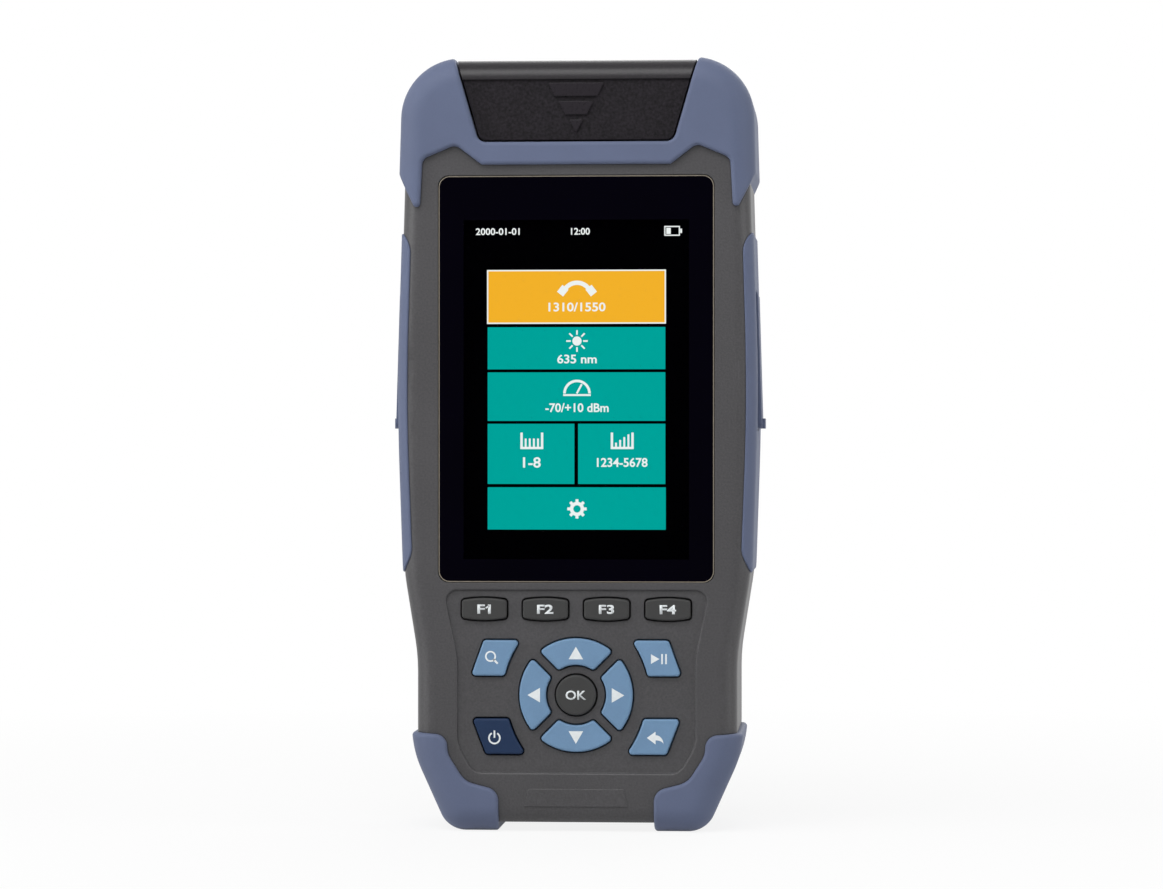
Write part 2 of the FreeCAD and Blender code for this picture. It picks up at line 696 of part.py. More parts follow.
# Bounds clear of the bumpers
clear = 4 * size.bumper_proud
outside = belly_half + clear
above = case_top + clear
below = case_bottom - clear


def region(label, corners):
    """A prism through the whole depth that bounds a soft skin in the front view."""
    body = new_body(label)
    sketch = new_sketch(body, "outline")
    rounded_outline(sketch, corners)
    pad(body, sketch, case_depth + 2 * clear, symmetric=True)
    return body


def skin(label, form, bounds):
    shell = combine("Cut", f"{label}_shell", form, seat_form)
    return combine("Common", label, shell, bounds)


def soften(label, moulding, form, radius):
    """The moulding in a body of its own, with the rim of its outer face rounded."""
    body = new_body(label)
    body.BaseFeature = moulding
    doc.recompute()
    outer_face = form.Shape.Shells[0]

    def on_outer_rim(edge):
        middle = edge.valueAt((edge.FirstParameter + edge.LastParameter) / 2)
        if outer_face.distToShape(Part.Vertex(middle))[0] > 1e-4:
            return False
        first, second = body.Tip.Shape.ancestorsOfType(edge, Part.Face)
        normals = [face.normalAt(*face.Surface.parameter(middle)) for face in (first, second)]
        return abs(normals[0].dot(normals[1])) < 0.9

    fillet(body, radius, on_outer_rim)
    return body


def top_bumper_corners():
    tip_half = size.ear_leg_half + size.ear_tip_lean
    tip_z = bay_z - size.ear_tip_drop
    right = [
        (size.bar_half, bay_z - size.bar_height, size.ear_tip_round),
        (size.ear_peak_half, bay_z - size.ear_peak_drop, size.ear_round),
        (size.ear_leg_half, bay_z - size.ear_leg_drop, size.ear_round),
        (tip_half, tip_z, size.ear_tip_round),
        (outside, tip_z + size.ear_slant, 0),
        (outside, above, 0),
    ]
    return mirrored(right)


def corner_bumper_corners(side):
    right = [
        (size.foot_inner_half, below, 0),
        (outside, below, 0),
        (outside, case_bottom + size.corner_top_rise + size.corner_top_slant, 0),
        (size.corner_top_half, case_bottom + size.corner_top_rise, size.corner_top_round),
        (size.corner_top_half, case_bottom + size.corner_hip_rise, size.corner_round),
        (size.corner_knee_half, case_bottom + size.corner_knee_rise, size.corner_round),
        (size.foot_inner_half, case_bottom + size.foot_step, size.foot_round),
    ]
    return [(side * x, y, radius) for x, y, radius in right]


def grip_corners(side):
    low_z = flare_z + size.grip_end_rise
    high_z = window_z1 - size.grip_end_drop
    right = [
        (flare_half - size.grip_wrap, low_z, size.grip_end_round),
        (outside, low_z - size.grip_low_slant, 0),
        (outside, high_z + size.grip_high_slant, 0),
        (side_half(high_z) - size.grip_wrap, high_z, size.grip_end_round),
        (belly_half - size.grip_wrap, belly_z, size.belly_round),
    ]
    return [(side * x, y, radius) for x, y, radius in right]


# Soft bumpers and side grips
bay_form = region("bay_form", bay_corners())
top_bounds = region("top_bumper_bounds", top_bumper_corners())
left_corner_bounds = region("left_corner_bounds", corner_bumper_corners(-1))
right_corner_bounds = region("right_corner_bounds", corner_bumper_corners(1))
left_grip_bounds = region("left_grip_bounds", grip_corners(-1))
right_grip_bounds = region("right_grip_bounds", grip_corners(1))

top_skin = skin("top_bumper_skin", bumper_form, top_bounds)
top_moulding = combine("Cut", "top_bumper_moulding", top_skin, bay_form)
left_corner_skin = skin("left_corner_skin", bumper_form, left_corner_bounds)
right_corner_skin = skin("right_corner_skin", bumper_form, right_corner_bounds)
top_bumper = soften("top_bumper", top_moulding, bumper_form, size.bumper_edge_round)
left_corner_bumper = soften("left_corner_bumper", left_corner_skin, bumper_form, size.bumper_edge_round)
right_corner_bumper = soften("right_corner_bumper", right_corner_skin, bumper_form, size.bumper_edge_round)

jack_f = front - board_back - size.jack_height / 2
usb_f = front - board_back - size.usb_height / 2
flap_f = jack_f
flap_z0 = window_z0 + size.flap_rise
flap_z1 = flap_z0 + size.flap_length
flap_z = (flap_z0 + flap_z1) / 2

flap_window = new_body("flap_window")
flap_window_outline = new_sketch(flap_window, "outline", "YZ_Plane")
flap_reach = size.flap_depth / 2 + size.flap_gap
rounded_outline(flap_window_outline, [
    (-flap_f - flap_reach, flap_z0 - size.flap_gap, size.flap_round + size.flap_gap),
    (-flap_f + flap_reach, flap_z0 - size.flap_gap, size.flap_round + size.flap_gap),
    (-flap_f + flap_reach, flap_z1 + size.flap_gap, 0),
    (-flap_f - flap_reach, flap_z1 + size.flap_gap, 0),
])
pad(flap_window, flap_window_outline, 2 * outside, symmetric=True)

left_grip_skin = skin("left_grip_skin", grip_form, left_grip_bounds)
right_grip_skin = skin("right_grip_skin", grip_form, right_grip_bounds)
left_grip_moulding = combine("Cut", "left_grip_moulding", left_grip_skin, flap_window)
right_grip_moulding = combine("Cut", "right_grip_moulding", right_grip_skin, flap_window)
left_side_grip = soften("left_side_grip", left_grip_moulding, grip_form, size.grip_edge_round)
right_side_grip = soften("right_side_grip", right_grip_moulding, grip_form, size.grip_edge_round)

# Everything outside the seat form where a soft skin lies on the shells
skin_bounds = doc.addObject("Part::MultiFuse", "skin_bounds")
skin_bounds.Shapes = [
    top_bounds, left_corner_bounds, right_corner_bounds, left_grip_bounds, right_grip_bounds
]
skin_seats = combine("Cut", "skin_seats", skin_bounds, seat_form)


# Key outlines, grown by a gap or a lip


def soft_key_nodes(column, grow):
    x = (column - 1.5) * size.soft_key_pitch
    half_width = size.soft_key_width / 2 + grow
    half_height = size.soft_key_height / 2 - size.soft_key_bow + grow
    bow = half_width * half_width / (2 * size.soft_key_bow) + size.soft_key_bow / 2
    return [
        (x - half_width, soft_z - half_height, bow),
        (x + half_width, soft_z - half_height, 0),
        (x + half_width, soft_z + half_height, bow),
        (x - half_width, soft_z + half_height, 0),
    ]


def arrow_key_nodes(quarter_turns, grow):
    """A quarter of a ring, bounded by webs on the diagonals. No turn points to the right."""
    web = (size.arrow_web - 2 * grow) / math.sqrt(2)

    def on_web(radius):
        reach = (2 * radius * radius - web * web).root()
        return (reach + web) / 2, (reach - web) / 2

    outer = size.arrow_outer + grow
    inner = size.arrow_inner - grow
    far, far_side = on_web(outer)
    near_end, near_side = on_web(inner)
    nodes = [
        (far, -far_side, outer),
        (far, far_side, 0),
        (near_end, near_side, -inner),
        (near_end, -near_side, 0),
    ]
    for turn in range(quarter_turns):
        nodes = [(-y, x, radius) for x, y, radius in nodes]
    return [(x, pad_z + y, radius) for x, y, radius in nodes]


def corner_key_nodes(side, upper, grow):
    """A leaning four-sided key with a hollow inner side, right (1) or left (-1) of the arrow keys."""
    height = size.corner_key_height
    if upper:
        middle = pad_z + size.corner_key_rise
        near_top, near_bottom = size.high_key_near, size.high_key_near + size.high_key_near_lean
        far_top, far_bottom = size.high_key_far, size.high_key_far + size.high_key_far_lean
    else:
        middle = pad_z - size.corner_key_drop
        near_top, near_bottom = size.low_key_near + size.low_key_near_lean, size.low_key_near
        far_top, far_bottom = size.low_key_far + size.low_key_far_lean, size.low_key_far
    near_slope = (near_top - near_bottom) / height
    far_slope = (far_top - far_bottom) / height
    near_shift = (1 + near_slope * near_slope).root() * grow
    far_shift = (1 + far_slope * far_slope).root() * grow
    low = middle - height / 2 - grow
    high = middle + height / 2 + grow
    near_low = near_bottom - near_slope * grow - near_shift
    near_high = near_top + near_slope * grow - near_shift
    far_low = far_bottom - far_slope * grow + far_shift
    far_high = far_top + far_slope * grow + far_shift
    lean = near_high - near_low
    chord_square = lean * lean + (high - low) * (high - low)
    hollow = chord_square / (8 * size.corner_key_hollow) + size.corner_key_hollow / 2
    if side > 0:
        return [(near_low, low, 0), (far_low, low, 0), (far_high, high, 0), (near_high, high, -hollow)]
    return [(-far_low, low, 0), (-near_low, low, -hollow), (-near_high, high, 0), (-far_high, high, 0)]


KEYS = {
    "key_f1": lambda grow: soft_key_nodes(0, grow),
    "key_f2": lambda grow: soft_key_nodes(1, grow),
    "key_f3": lambda grow: soft_key_nodes(2, grow),
    "key_f4": lambda grow: soft_key_nodes(3, grow),
    "key_search": lambda grow: corner_key_nodes(-1, True, grow),
    "key_play_pause": lambda grow: corner_key_nodes(1, True, grow),
    "key_power": lambda grow: corner_key_nodes(-1, False, grow),
    "key_return": lambda grow: corner_key_nodes(1, False, grow),
    "key_right": lambda grow: arrow_key_nodes(0, grow),
    "key_up": lambda grow: arrow_key_nodes(1, grow),
    "key_left": lambda grow: arrow_key_nodes(2, grow),
    "key_down": lambda grow: arrow_key_nodes(3, grow),
}

arrow_middle = (size.arrow_inner + size.arrow_outer) / 2
high_key_x = (size.high_key_near + size.high_key_far + size.high_key_far_lean) / 2
low_key_x = (size.low_key_near + size.low_key_far + size.low_key_far_lean) / 2
high_key_z = pad_z + size.corner_key_rise
low_key_z = pad_z - size.corner_key_drop
KEY_CENTRES = [((column - 1.5) * size.soft_key_pitch, soft_z) for column in range(4)]
for side in (-1, 1):
    KEY_CENTRES += [(side * high_key_x, high_key_z), (side * low_key_x, low_key_z)]
    KEY_CENTRES += [(side * arrow_middle, pad_z), (0, pad_z + side * arrow_middle)]
KEY_CENTRES += [(0, pad_z)]

panel_top_half = 1.5 * size.soft_key_pitch + size.soft_key_width / 2 + size.panel_margin
panel_top = soft_z + size.soft_key_height / 2 + size.panel_head
panel_side_half = size.high_key_far + size.high_key_far_lean + size.panel_flank
panel_bottom = low_key_z - size.corner_key_height / 2 - size.panel_foot
panel_foot_half = size.low_key_far + size.panel_flank


def panel_corners(inset=0):
    right = [
        (panel_foot_half - inset, panel_bottom + inset, size.panel_foot_round),
        (panel_side_half - inset, low_key_z - size.corner_key_height / 4, size.panel_flank_round),
        (panel_side_half - inset, high_key_z, size.panel_waist_round),
        (panel_top_half - inset, panel_top - inset, size.panel_head_round),
    ]
    return mirrored(right)


# Posts and screws shared by the shells
CASE_SCREWS = [
    (side * half, z)
    for half, z in (
        (size.case_screw_low_half, case_bottom + size.case_screw_low_rise),
        (size.case_screw_high_half, bay_z - size.case_screw_high_drop),
    )
    for side in (-1, 1)
]
board_half = hip_half - size.case_wall - size.board_side_gap
BOARD_SCREWS = [
    (side * (board_half - size.board_post_inset), z)
    for z in (window_z0 + size.board_post_low, window_z1 - size.board_post_high)
    for side in (-1, 1)
]
battery_z = window_z0 + size.battery_rise
bay_inner_half = size.battery_diameter + size.battery_gap
bay_inner_reach = size.battery_length / 2 + size.battery_gap
door_half = bay_inner_half + size.door_side
door_reach = bay_inner_reach + size.door_end
DOOR_SCREWS = [(0, battery_z + side * (bay_inner_reach + size.door_end / 2)) for side in (-1, 1)]
port_y = size.port_depth - front
port_pitch = size.bay_half - size.port_margin
PORTS = [(column * port_pitch, port_y) for column in (-1, 0, 1)]
plate_screw_half = size.bay_half - size.plate_screw_margin
PLATE_SCREWS = [(side * plate_screw_half, port_y - size.plate_screw_ahead) for side in (-1, 1)]


def circles(body, name, centres, radius, **where):
    sketch = new_sketch(body, name, **where)
    for x, y in centres:
        circle_outline(sketch, x, y, radius)
    return sketch


def sketched(body, name, corners, **where):
    sketch = new_sketch(body, name, **where)
    rounded_outline(sketch, corners)
    return sketch


def slab(body, name, x0, y0, x1, y1, radius=0, **where):
    sketch = new_sketch(body, name, **where)
    block_outline(sketch, x0, y0, x1, y1, radius)
    return sketch


# Front shell
inner_face = front - front_wall

front_moulding = new_body("front_moulding")
front_outline = sketched(front_moulding, "outline", case_corners(), offset=parting)
pad(front_moulding, front_outline, size.front_shell_depth)
fillet(front_moulding, size.edge_round, lambda edge: in_plane_y(edge, -front))
bay_cut = sketched(front_moulding, "bay", bay_corners(), offset=front)
pocket(front_moulding, bay_cut, size.front_shell_depth)
cavity_cut = sketched(front_moulding, "cavity", cavity_corners(), offset=parting)
pocket(front_moulding, cavity_cut, size.front_shell_depth - front_wall, backwards=True)
panel_cut = sketched(front_moulding, "key_panel", panel_corners(), offset=front)
pocket(front_moulding, panel_cut, size.panel_recess)


def on_panel_rim(edge):
    box = edge.BoundBox
    inside = box.ZMin > float(panel_bottom) - 0.01 and box.ZMax < float(panel_top) + 0.01
    return in_plane_y(edge, -front) and inside and max(-box.XMin, box.XMax) < float(panel_top_half) + 0.01


fillet(front_moulding, size.panel_rim_round, on_panel_rim)
window_cut = slab(
    front_moulding, "window",
    -size.window_width / 2, window_z0, size.window_width / 2, window_z1, size.window_round, offset=front,
)
pocket(front_moulding, window_cut, size.lens_thickness + size.gasket_thickness)
display_cut = slab(
    front_moulding, "display",
    -size.display_view_width / 2, display_z - size.display_view_height / 2,
    size.display_view_width / 2, display_z + size.display_view_height / 2, size.cavity_round, offset=front,
)
pocket(front_moulding, display_cut, front_wall)

key_holes = new_sketch(front_moulding, "key_holes", offset=front)
for nodes in KEYS.values():
    bowed_outline(key_holes, nodes(0))
pocket(front_moulding, key_holes, front_wall)


def on_key_hole(edge):
    box = edge.BoundBox
    through = near(box.YMin, -(front - size.panel_recess)) and near(box.YMax, -inner_face)
    return through and along(edge, Y_AXIS)


fillet(front_moulding, size.key_round, on_key_hole)
ok_hole = circles(front_moulding, "ok_hole", [(0, pad_z)], size.ok_radius, offset=front)
pocket(front_moulding, ok_hole, front_wall)

chin_mark_top = case_bottom + size.edge_round + size.chin_mark_height
chin_mark = sketched(
    front_moulding, "chin_mark",
    mirrored([
        (size.chin_mark_half + size.chin_mark_flare, case_bottom + size.edge_round, 0),
        (size.chin_mark_half, chin_mark_top, size.chin_mark_round),
    ]),
    offset=front,
)
pad(front_moulding, chin_mark, size.chin_mark_rise)

front_post = size.case_screw_radius + size.case_post_wall
posts = circles(front_moulding, "posts", CASE_SCREWS, front_post, offset=inner_face)
pad(front_moulding, posts, size.front_shell_depth - front_wall, backwards=True)
case_screw_hole = size.case_screw_radius + size.screw_gap
pilots = circles(front_moulding, "pilots", CASE_SCREWS, case_screw_hole, offset=parting)
pocket(front_moulding, pilots, size.case_screw_bite + size.pilot_end, backwards=True)
board_posts = circles(
    front_moulding, "board_posts", BOARD_SCREWS, size.board_post_radius, offset=inner_face
)
pad(front_moulding, board_posts, board_front - front_wall, backwards=True)
board_screw_hole = size.board_screw_radius + size.screw_gap
board_pilots = circles(
    front_moulding, "board_pilots", BOARD_SCREWS, board_screw_hole, offset=front - board_front
)
pocket(front_moulding, board_pilots, size.board_screw_bite + size.pilot_end, backwards=True)

port_hole = size.port_neck + size.port_neck_gap
plate_screw_hole = size.plate_screw_radius + size.screw_gap
floor_holes = circles(front_moulding, "floor_holes", PORTS, port_hole, role="XY_Plane", offset=bay_z)
for x, y in PLATE_SCREWS:
    circle_outline(floor_holes, x, y, plate_screw_hole)
pocket(front_moulding, floor_holes, size.bay_floor_wall)


def wall_opening(name, middle_f, width, height, side):
    """The opening in a side wall for a socket. The sketch lies inside the wall and cuts outwards."""
    half_width = width / 2 + size.socket_gap
    half_height = height / 2 + size.socket_gap
    sketch = slab(
        front_moulding, name,
        -middle_f - half_height, flap_z - half_width, -middle_f + half_height, flap_z + half_width,
        size.socket_round,
        role="YZ_Plane", offset=side * (hip_half - size.case_wall),
    )
    pocket(front_moulding, sketch, outside - hip_half + size.case_wall, backwards=side > 0)


wall_opening("jack_opening", jack_f, size.jack_width, size.jack_height, -1)
wall_opening("usb_opening", usb_f, size.usb_width, size.usb_height, 1)


def relieve_feet(body, offset, length):
    relief = slab(
        body, "foot_relief",
        -size.foot_inner_half, below, size.foot_inner_half, case_bottom + size.foot_relief, offset=offset,
    )
    pocket(body, relief, length)


relieve_feet(front_moulding, front, size.front_shell_depth)
front_shell = combine("Cut", "front_shell", front_moulding, skin_seats)

# Rear shell
back = -front
rear_inner = back + rear_wall
bay_back = back + size.bay_rear_wall
cover_top = case_top + size.cover_crown
hinge_z = cover_top - size.hinge_radius
hinge_y = front - size.hinge_radius
hinge_wall_top = hinge_z - size.hinge_wall_drop

rear_moulding = new_body("rear_moulding")
rear_outline = sketched(rear_moulding, "outline", case_corners(), offset=parting)
pad(rear_moulding, rear_outline, rear_shell_depth, backwards=True)
fillet(rear_moulding, size.edge_round, lambda edge: in_plane_y(edge, front))
rear_bay_cut = sketched(rear_moulding, "bay", bay_corners(), offset=parting)
pocket(rear_moulding, rear_bay_cut, parting - back - size.hinge_zone)
hinge_cut = slab(rear_moulding, "hinge_zone", -size.bay_half, bay_z, size.bay_half, above, offset=parting)
pocket(rear_moulding, hinge_cut, parting - bay_back)
hinge_wall_cut = slab(
    rear_moulding, "hinge_wall", -size.bay_half, hinge_wall_top, size.bay_half, above, offset=bay_back
)
pocket(rear_moulding, hinge_wall_cut, size.bay_rear_wall)
barrel_cut = circles(
    rear_moulding, "barrel", [(hinge_y, hinge_z)], size.hinge_radius + size.cover_gap, role="YZ_Plane"
)
pocket(rear_moulding, barrel_cut, 2 * size.bay_half, symmetric=True)
pin_hole = size.hinge_pin_radius + size.hinge_pin_seat_gap
pin_cut = circles(rear_moulding, "pin_holes", [(hinge_y, hinge_z)], pin_hole, role="YZ_Plane")
pocket(rear_moulding, pin_cut, 2 * (size.bay_half + size.hinge_pin_bite), symmetric=True)
rear_cavity = sketched(rear_moulding, "cavity", cavity_corners(), offset=parting)
pocket(rear_moulding, rear_cavity, rear_shell_depth - rear_wall)

bay_wall_half = bay_inner_half + size.battery_wall
bay_wall_reach = door_reach + size.battery_wall
bay_block = slab(
    rear_moulding, "battery_block",
    -bay_wall_half, battery_z - bay_wall_reach, bay_wall_half, battery_z + bay_wall_reach,
    size.cavity_round, offset=rear_inner,
)
pad(rear_moulding, bay_block, front - bay_block_front - rear_inner)
head_well = size.case_screw_head + 2 * size.screw_gap
rear_post = head_well + size.case_post_wall
rear_posts = circles(rear_moulding, "posts", CASE_SCREWS, rear_post, offset=rear_inner)
pad(rear_moulding, rear_posts, parting - rear_inner)
head_wells = circles(rear_moulding, "head_wells", CASE_SCREWS, head_well, offset=back)
pocket(rear_moulding, head_wells, size.case_screw_sink, backwards=True)
shank_holes = circles(rear_moulding, "shank_holes", CASE_SCREWS, case_screw_hole, offset=back)
pocket(rear_moulding, shank_holes, rear_shell_depth, backwards=True)
door_cut = slab(
    rear_moulding, "door",
    -door_half, battery_z - door_reach, door_half, battery_z + door_reach, size.door_round, offset=back,
)
pocket(rear_moulding, door_cut, size.door_thickness, backwards=True)
battery_cut = slab(
    rear_moulding, "battery_bay",
    -bay_inner_half, battery_z - bay_inner_reach, bay_inner_half, battery_z + bay_inner_reach,
    size.battery_bay_round, offset=back,
)
pocket(rear_moulding, battery_cut, front - battery_front - back, backwards=True)
door_screw_hole = size.door_screw_radius + size.screw_gap
door_pilots = circles(rear_moulding, "door_pilots", DOOR_SCREWS, door_screw_hole, offset=back)
door_pilot_depth = size.door_thickness + size.door_screw_bite + size.pilot_end
pocket(rear_moulding, door_pilots, door_pilot_depth, backwards=True)
relieve_feet(rear_moulding, parting, rear_shell_depth)
rear_shell = combine("Cut", "rear_shell", rear_moulding, skin_seats)

# Battery, its door and the screws of the back
battery_pack = new_body("battery_pack")
battery_y = front - size.door_thickness - size.battery_gap - size.battery_diameter / 2
cell = size.battery_diameter
battery_outline = slab(
    battery_pack, "outline",
    -cell, battery_y - cell / 2, cell, battery_y + cell / 2, (cell - size.battery_flat) / 2,
    role="XY_Plane", offset=battery_z - size.battery_length / 2,
)
pad(battery_pack, battery_outline, size.battery_length)

battery_door = new_body("battery_door")
lid_half = door_half - size.door_gap
lid_reach = door_reach - size.door_gap
lid = slab(
    battery_door, "outline",
    -lid_half, battery_z - lid_reach, lid_half, battery_z + lid_reach,
    size.door_round - size.door_gap, offset=back,
)
pad(battery_door, lid, size.door_thickness)
lid_well = size.door_screw_head + size.screw_gap
lid_wells = circles(battery_door, "head_wells", DOOR_SCREWS, lid_well, offset=back)
pocket(battery_door, lid_wells, size.door_screw_crown, backwards=True)
lid_holes = circles(battery_door, "shank_holes", DOOR_SCREWS, door_screw_hole, offset=back)
pocket(battery_door, lid_holes, size.door_thickness, backwards=True)
FINGER_GROOVES = 5
grooves = new_sketch(battery_door, "finger_grooves", offset=back)
for groove in range(FINGER_GROOVES):
    groove_z = battery_z + bay_inner_reach - size.rib_drop - groove * size.rib_pitch
    groove_half = size.rib_pitch / 4
    block_outline(
        grooves, -size.rib_length / 2, groove_z - groove_half, size.rib_length / 2, groove_z + groove_half
    )
pocket(battery_door, grooves, size.rib_depth, backwards=True)


def screws(label, centres, shank, head, crown, length, offset, role="XZ_Plane", backwards=False):
    """Screws whose heads start at the offset plane and whose shanks run on from the heads."""
    body = new_body(label)
    pad(body, circles(body, "heads", centres, head, role=role, offset=offset), crown, backwards=backwards)
    under = offset - crown if backwards else offset + crown
    pad(body, circles(body, "shanks", centres, shank, role=role, offset=under), length, backwards=backwards)
    return body


battery_door_screws = screws(
    "battery_door_screws", DOOR_SCREWS, size.door_screw_radius, size.door_screw_head, size.door_screw_crown,
    size.door_thickness - size.door_screw_crown + size.door_screw_bite, back,
)
case_screw_head_f = back + size.case_screw_sink - size.case_screw_crown
case_screws = screws(
    "case_screws", CASE_SCREWS, size.case_screw_radius, size.case_screw_head, size.case_screw_crown,
    rear_shell_depth - size.case_screw_sink + size.case_screw_bite, case_screw_head_f,
)

# Window lens, gasket and display
window_lens = new_body("window_lens")
lens_half = size.window_width / 2 - size.lens_gap
lens_outline = slab(
    window_lens, "outline",
    -lens_half, window_z0 + size.lens_gap, lens_half, window_z1 - size.lens_gap,
    size.window_round - size.lens_gap, offset=front - size.lens_thickness,
)
pad(window_lens, lens_outline, size.lens_thickness)
fillet(window_lens, size.lens_edge_round, lambda edge: in_plane_y(edge, -front))

lens_gasket = new_body("lens_gasket")
gasket_half = lens_half - size.gasket_inset
gasket_low = window_z0 + size.lens_gap + size.gasket_inset
gasket_high = window_z1 - size.lens_gap - size.gasket_inset
gasket_f = front - size.lens_thickness - size.gasket_thickness
gasket_outline = slab(
    lens_gasket, "outline", -gasket_half, gasket_low, gasket_half, gasket_high,
    size.window_round - size.lens_gap - size.gasket_inset, offset=gasket_f,
)
pad(lens_gasket, gasket_outline, size.gasket_thickness)
gasket_view_half = size.display_view_width / 2 + size.gasket_inset
gasket_view_reach = size.display_view_height / 2 + size.gasket_inset
gasket_view = slab(
    lens_gasket, "opening",
    -gasket_view_half, display_z - gasket_view_reach, gasket_view_half, display_z + gasket_view_reach,
    size.cavity_round, offset=gasket_f,
)
pocket(lens_gasket, gasket_view, size.gasket_thickness, backwards=True)

panel_half = size.display_view_width / 2 + size.display_frame
panel_reach = size.display_view_height / 2 + size.display_tail
panel_y = -(front - front_wall - size.display_gap)
display_panel = block(
    "display_panel", -panel_half, panel_y, display_z - panel_reach,
    2 * panel_half, size.panel_thickness, 2 * panel_reach,
)
display_backlight = block(
    "display_backlight", -panel_half, panel_y + size.panel_thickness, display_z - panel_reach,
    2 * panel_half, size.backlight_thickness, 2 * panel_reach,
)

# Main board, keypad mat and dome switches
main_board = new_body("main_board")
board_outline = sketched(
    main_board, "outline",
    mirrored([
        (size.board_foot_half, case_bottom + size.board_foot_rise, size.board_round),
        (board_half, case_bottom + size.board_shoulder_rise, size.board_round),
        (board_half, window_z1 - size.board_top_drop, size.board_round),
    ]),
    offset=front - board_front,
)
pad(main_board, board_outline, size.board_thickness, backwards=True)
board_holes = circles(main_board, "screw_holes", BOARD_SCREWS, board_screw_hole, offset=front - board_front)
pocket(main_board, board_holes, size.board_thickness)
board_screws = screws(
    "board_screws", BOARD_SCREWS, size.board_screw_radius, size.board_screw_head, size.board_screw_crown,
    size.board_thickness + size.board_screw_bite, front - board_back - size.board_screw_crown,
)

keypad_mat = new_body("keypad_mat")
mat_outline = sketched(keypad_mat, "sheet", panel_corners(size.mat_margin), offset=front - board_front)
pad(keypad_mat, mat_outline, size.mat_sheet)
mat_buttons = circles(
    keypad_mat, "buttons", KEY_CENTRES, size.mat_button_radius, offset=front - board_front + size.mat_sheet
)
pad(keypad_mat, mat_buttons, size.mat_button)
dome_well = size.dome_radius + size.dome_gap
dome_wells = circles(keypad_mat, "dome_wells", KEY_CENTRES, dome_well, offset=front - board_front)
pocket(keypad_mat, dome_wells, size.dome_thickness + size.dome_gap, backwards=True)

dome_switches = new_body("dome_switches")
domes = circles(dome_switches, "domes", KEY_CENTRES, size.dome_radius, offset=front - board_front)
pad(dome_switches, domes, size.dome_thickness)

buzzer = new_body("buzzer")
buzzer_place = [(size.buzzer_side, window_z0 + size.buzzer_rise)]
buzzer_can = circles(buzzer, "can", buzzer_place, size.buzzer_radius, offset=front - board_back)
pad(buzzer, buzzer_can, size.buzzer_height, backwards=True)

# Keys
flange_front = inner_face - size.key_rest_gap
key_top = front - size.panel_recess + size.key_proud


def make_key(label, draw):
    """A cap that fills its hole, with a flange behind the panel that stops it falling out."""
    body = new_body(label)
    cap = new_sketch(body, "cap", offset=flange_front)
    draw(cap, -size.key_gap)
    pad(body, cap, key_top - flange_front)
    flange = new_sketch(body, "flange", offset=flange_front)
    draw(flange, size.key_lip)
    pad(body, flange, size.key_flange, backwards=True)
    return body


def on_key_top(edge):
    return in_plane_y(edge, -key_top)


keys = []
for label, nodes in KEYS.items():
    key = make_key(label, lambda sketch, grow: bowed_outline(sketch, nodes(grow)))
    fillet(key, size.key_round - size.key_gap, lambda edge: along(edge, Y_AXIS))
    fillet(key, size.key_crown_round, on_key_top)
    keys.append(key)
key_ok = make_key("key_ok", lambda sketch, grow: circle_outline(sketch, 0, pad_z, size.ok_radius + grow))
fillet(key_ok, size.key_crown_round, on_key_top)
keys.append(key_ok)

# Port plate, optical ports and their modules
plate_half = size.bay_half - size.bay_round
plate_y0 = -(front - size.cover_wall - size.plate_front_gap)
plate_top = bay_z + size.plate_thickness
port_plate = new_body("port_plate")
plate_outline = slab(
    port_plate, "outline", -plate_half, plate_y0, plate_half, plate_y0 + size.plate_depth, size.plate_round,
    role="XY_Plane", offset=bay_z,
)
pad(port_plate, plate_outline, size.plate_thickness)
plate_holes = circles(port_plate, "holes", PORTS, port_hole, role="XY_Plane", offset=plate_top)
for x, y in PLATE_SCREWS:
    circle_outline(plate_holes, x, y, plate_screw_hole)
pocket(port_plate, plate_holes, size.plate_thickness)
port_plate_screws = screws(
    "port_plate_screws", PLATE_SCREWS,
    size.plate_screw_radius, size.plate_screw_head, size.plate_screw_crown,
    size.plate_thickness + size.plate_screw_bite, plate_top + size.plate_screw_crown,
    role="XY_Plane", backwards=True,
)
port_bottom = bay_z - size.port_neck_length
flange_top = plate_top + size.port_flange_height
barrel_top = flange_top + size.port_barrel_height


def port_adapter(label, place_x, place_y, barrel):
    """A turned ferrule adapter: neck through the plate, flange on it and a barrel for the plug."""
    body = new_body(label)
    sketch = new_sketch(body, "section", offset=-place_y, across=place_x)
    rounded_outline(sketch, [
        (size.port_chamber, port_bottom, 0),
        (size.port_neck, port_bottom, 0),
        (size.port_neck, plate_top, 0),
        (size.port_flange, plate_top, 0),
        (size.port_flange, flange_top, size.port_edge_round),
        (barrel, flange_top, 0),
        (barrel, barrel_top, size.port_edge_round),
        (size.port_bore + size.port_lead, barrel_top, 0),
        (size.port_bore, barrel_top - size.port_lead, 0),
        (size.port_bore, barrel_top - size.port_bore_depth, 0),
        (size.port_chamber, barrel_top - size.port_bore_depth, 0),
    ])
    revolve(body, sketch)
    return body


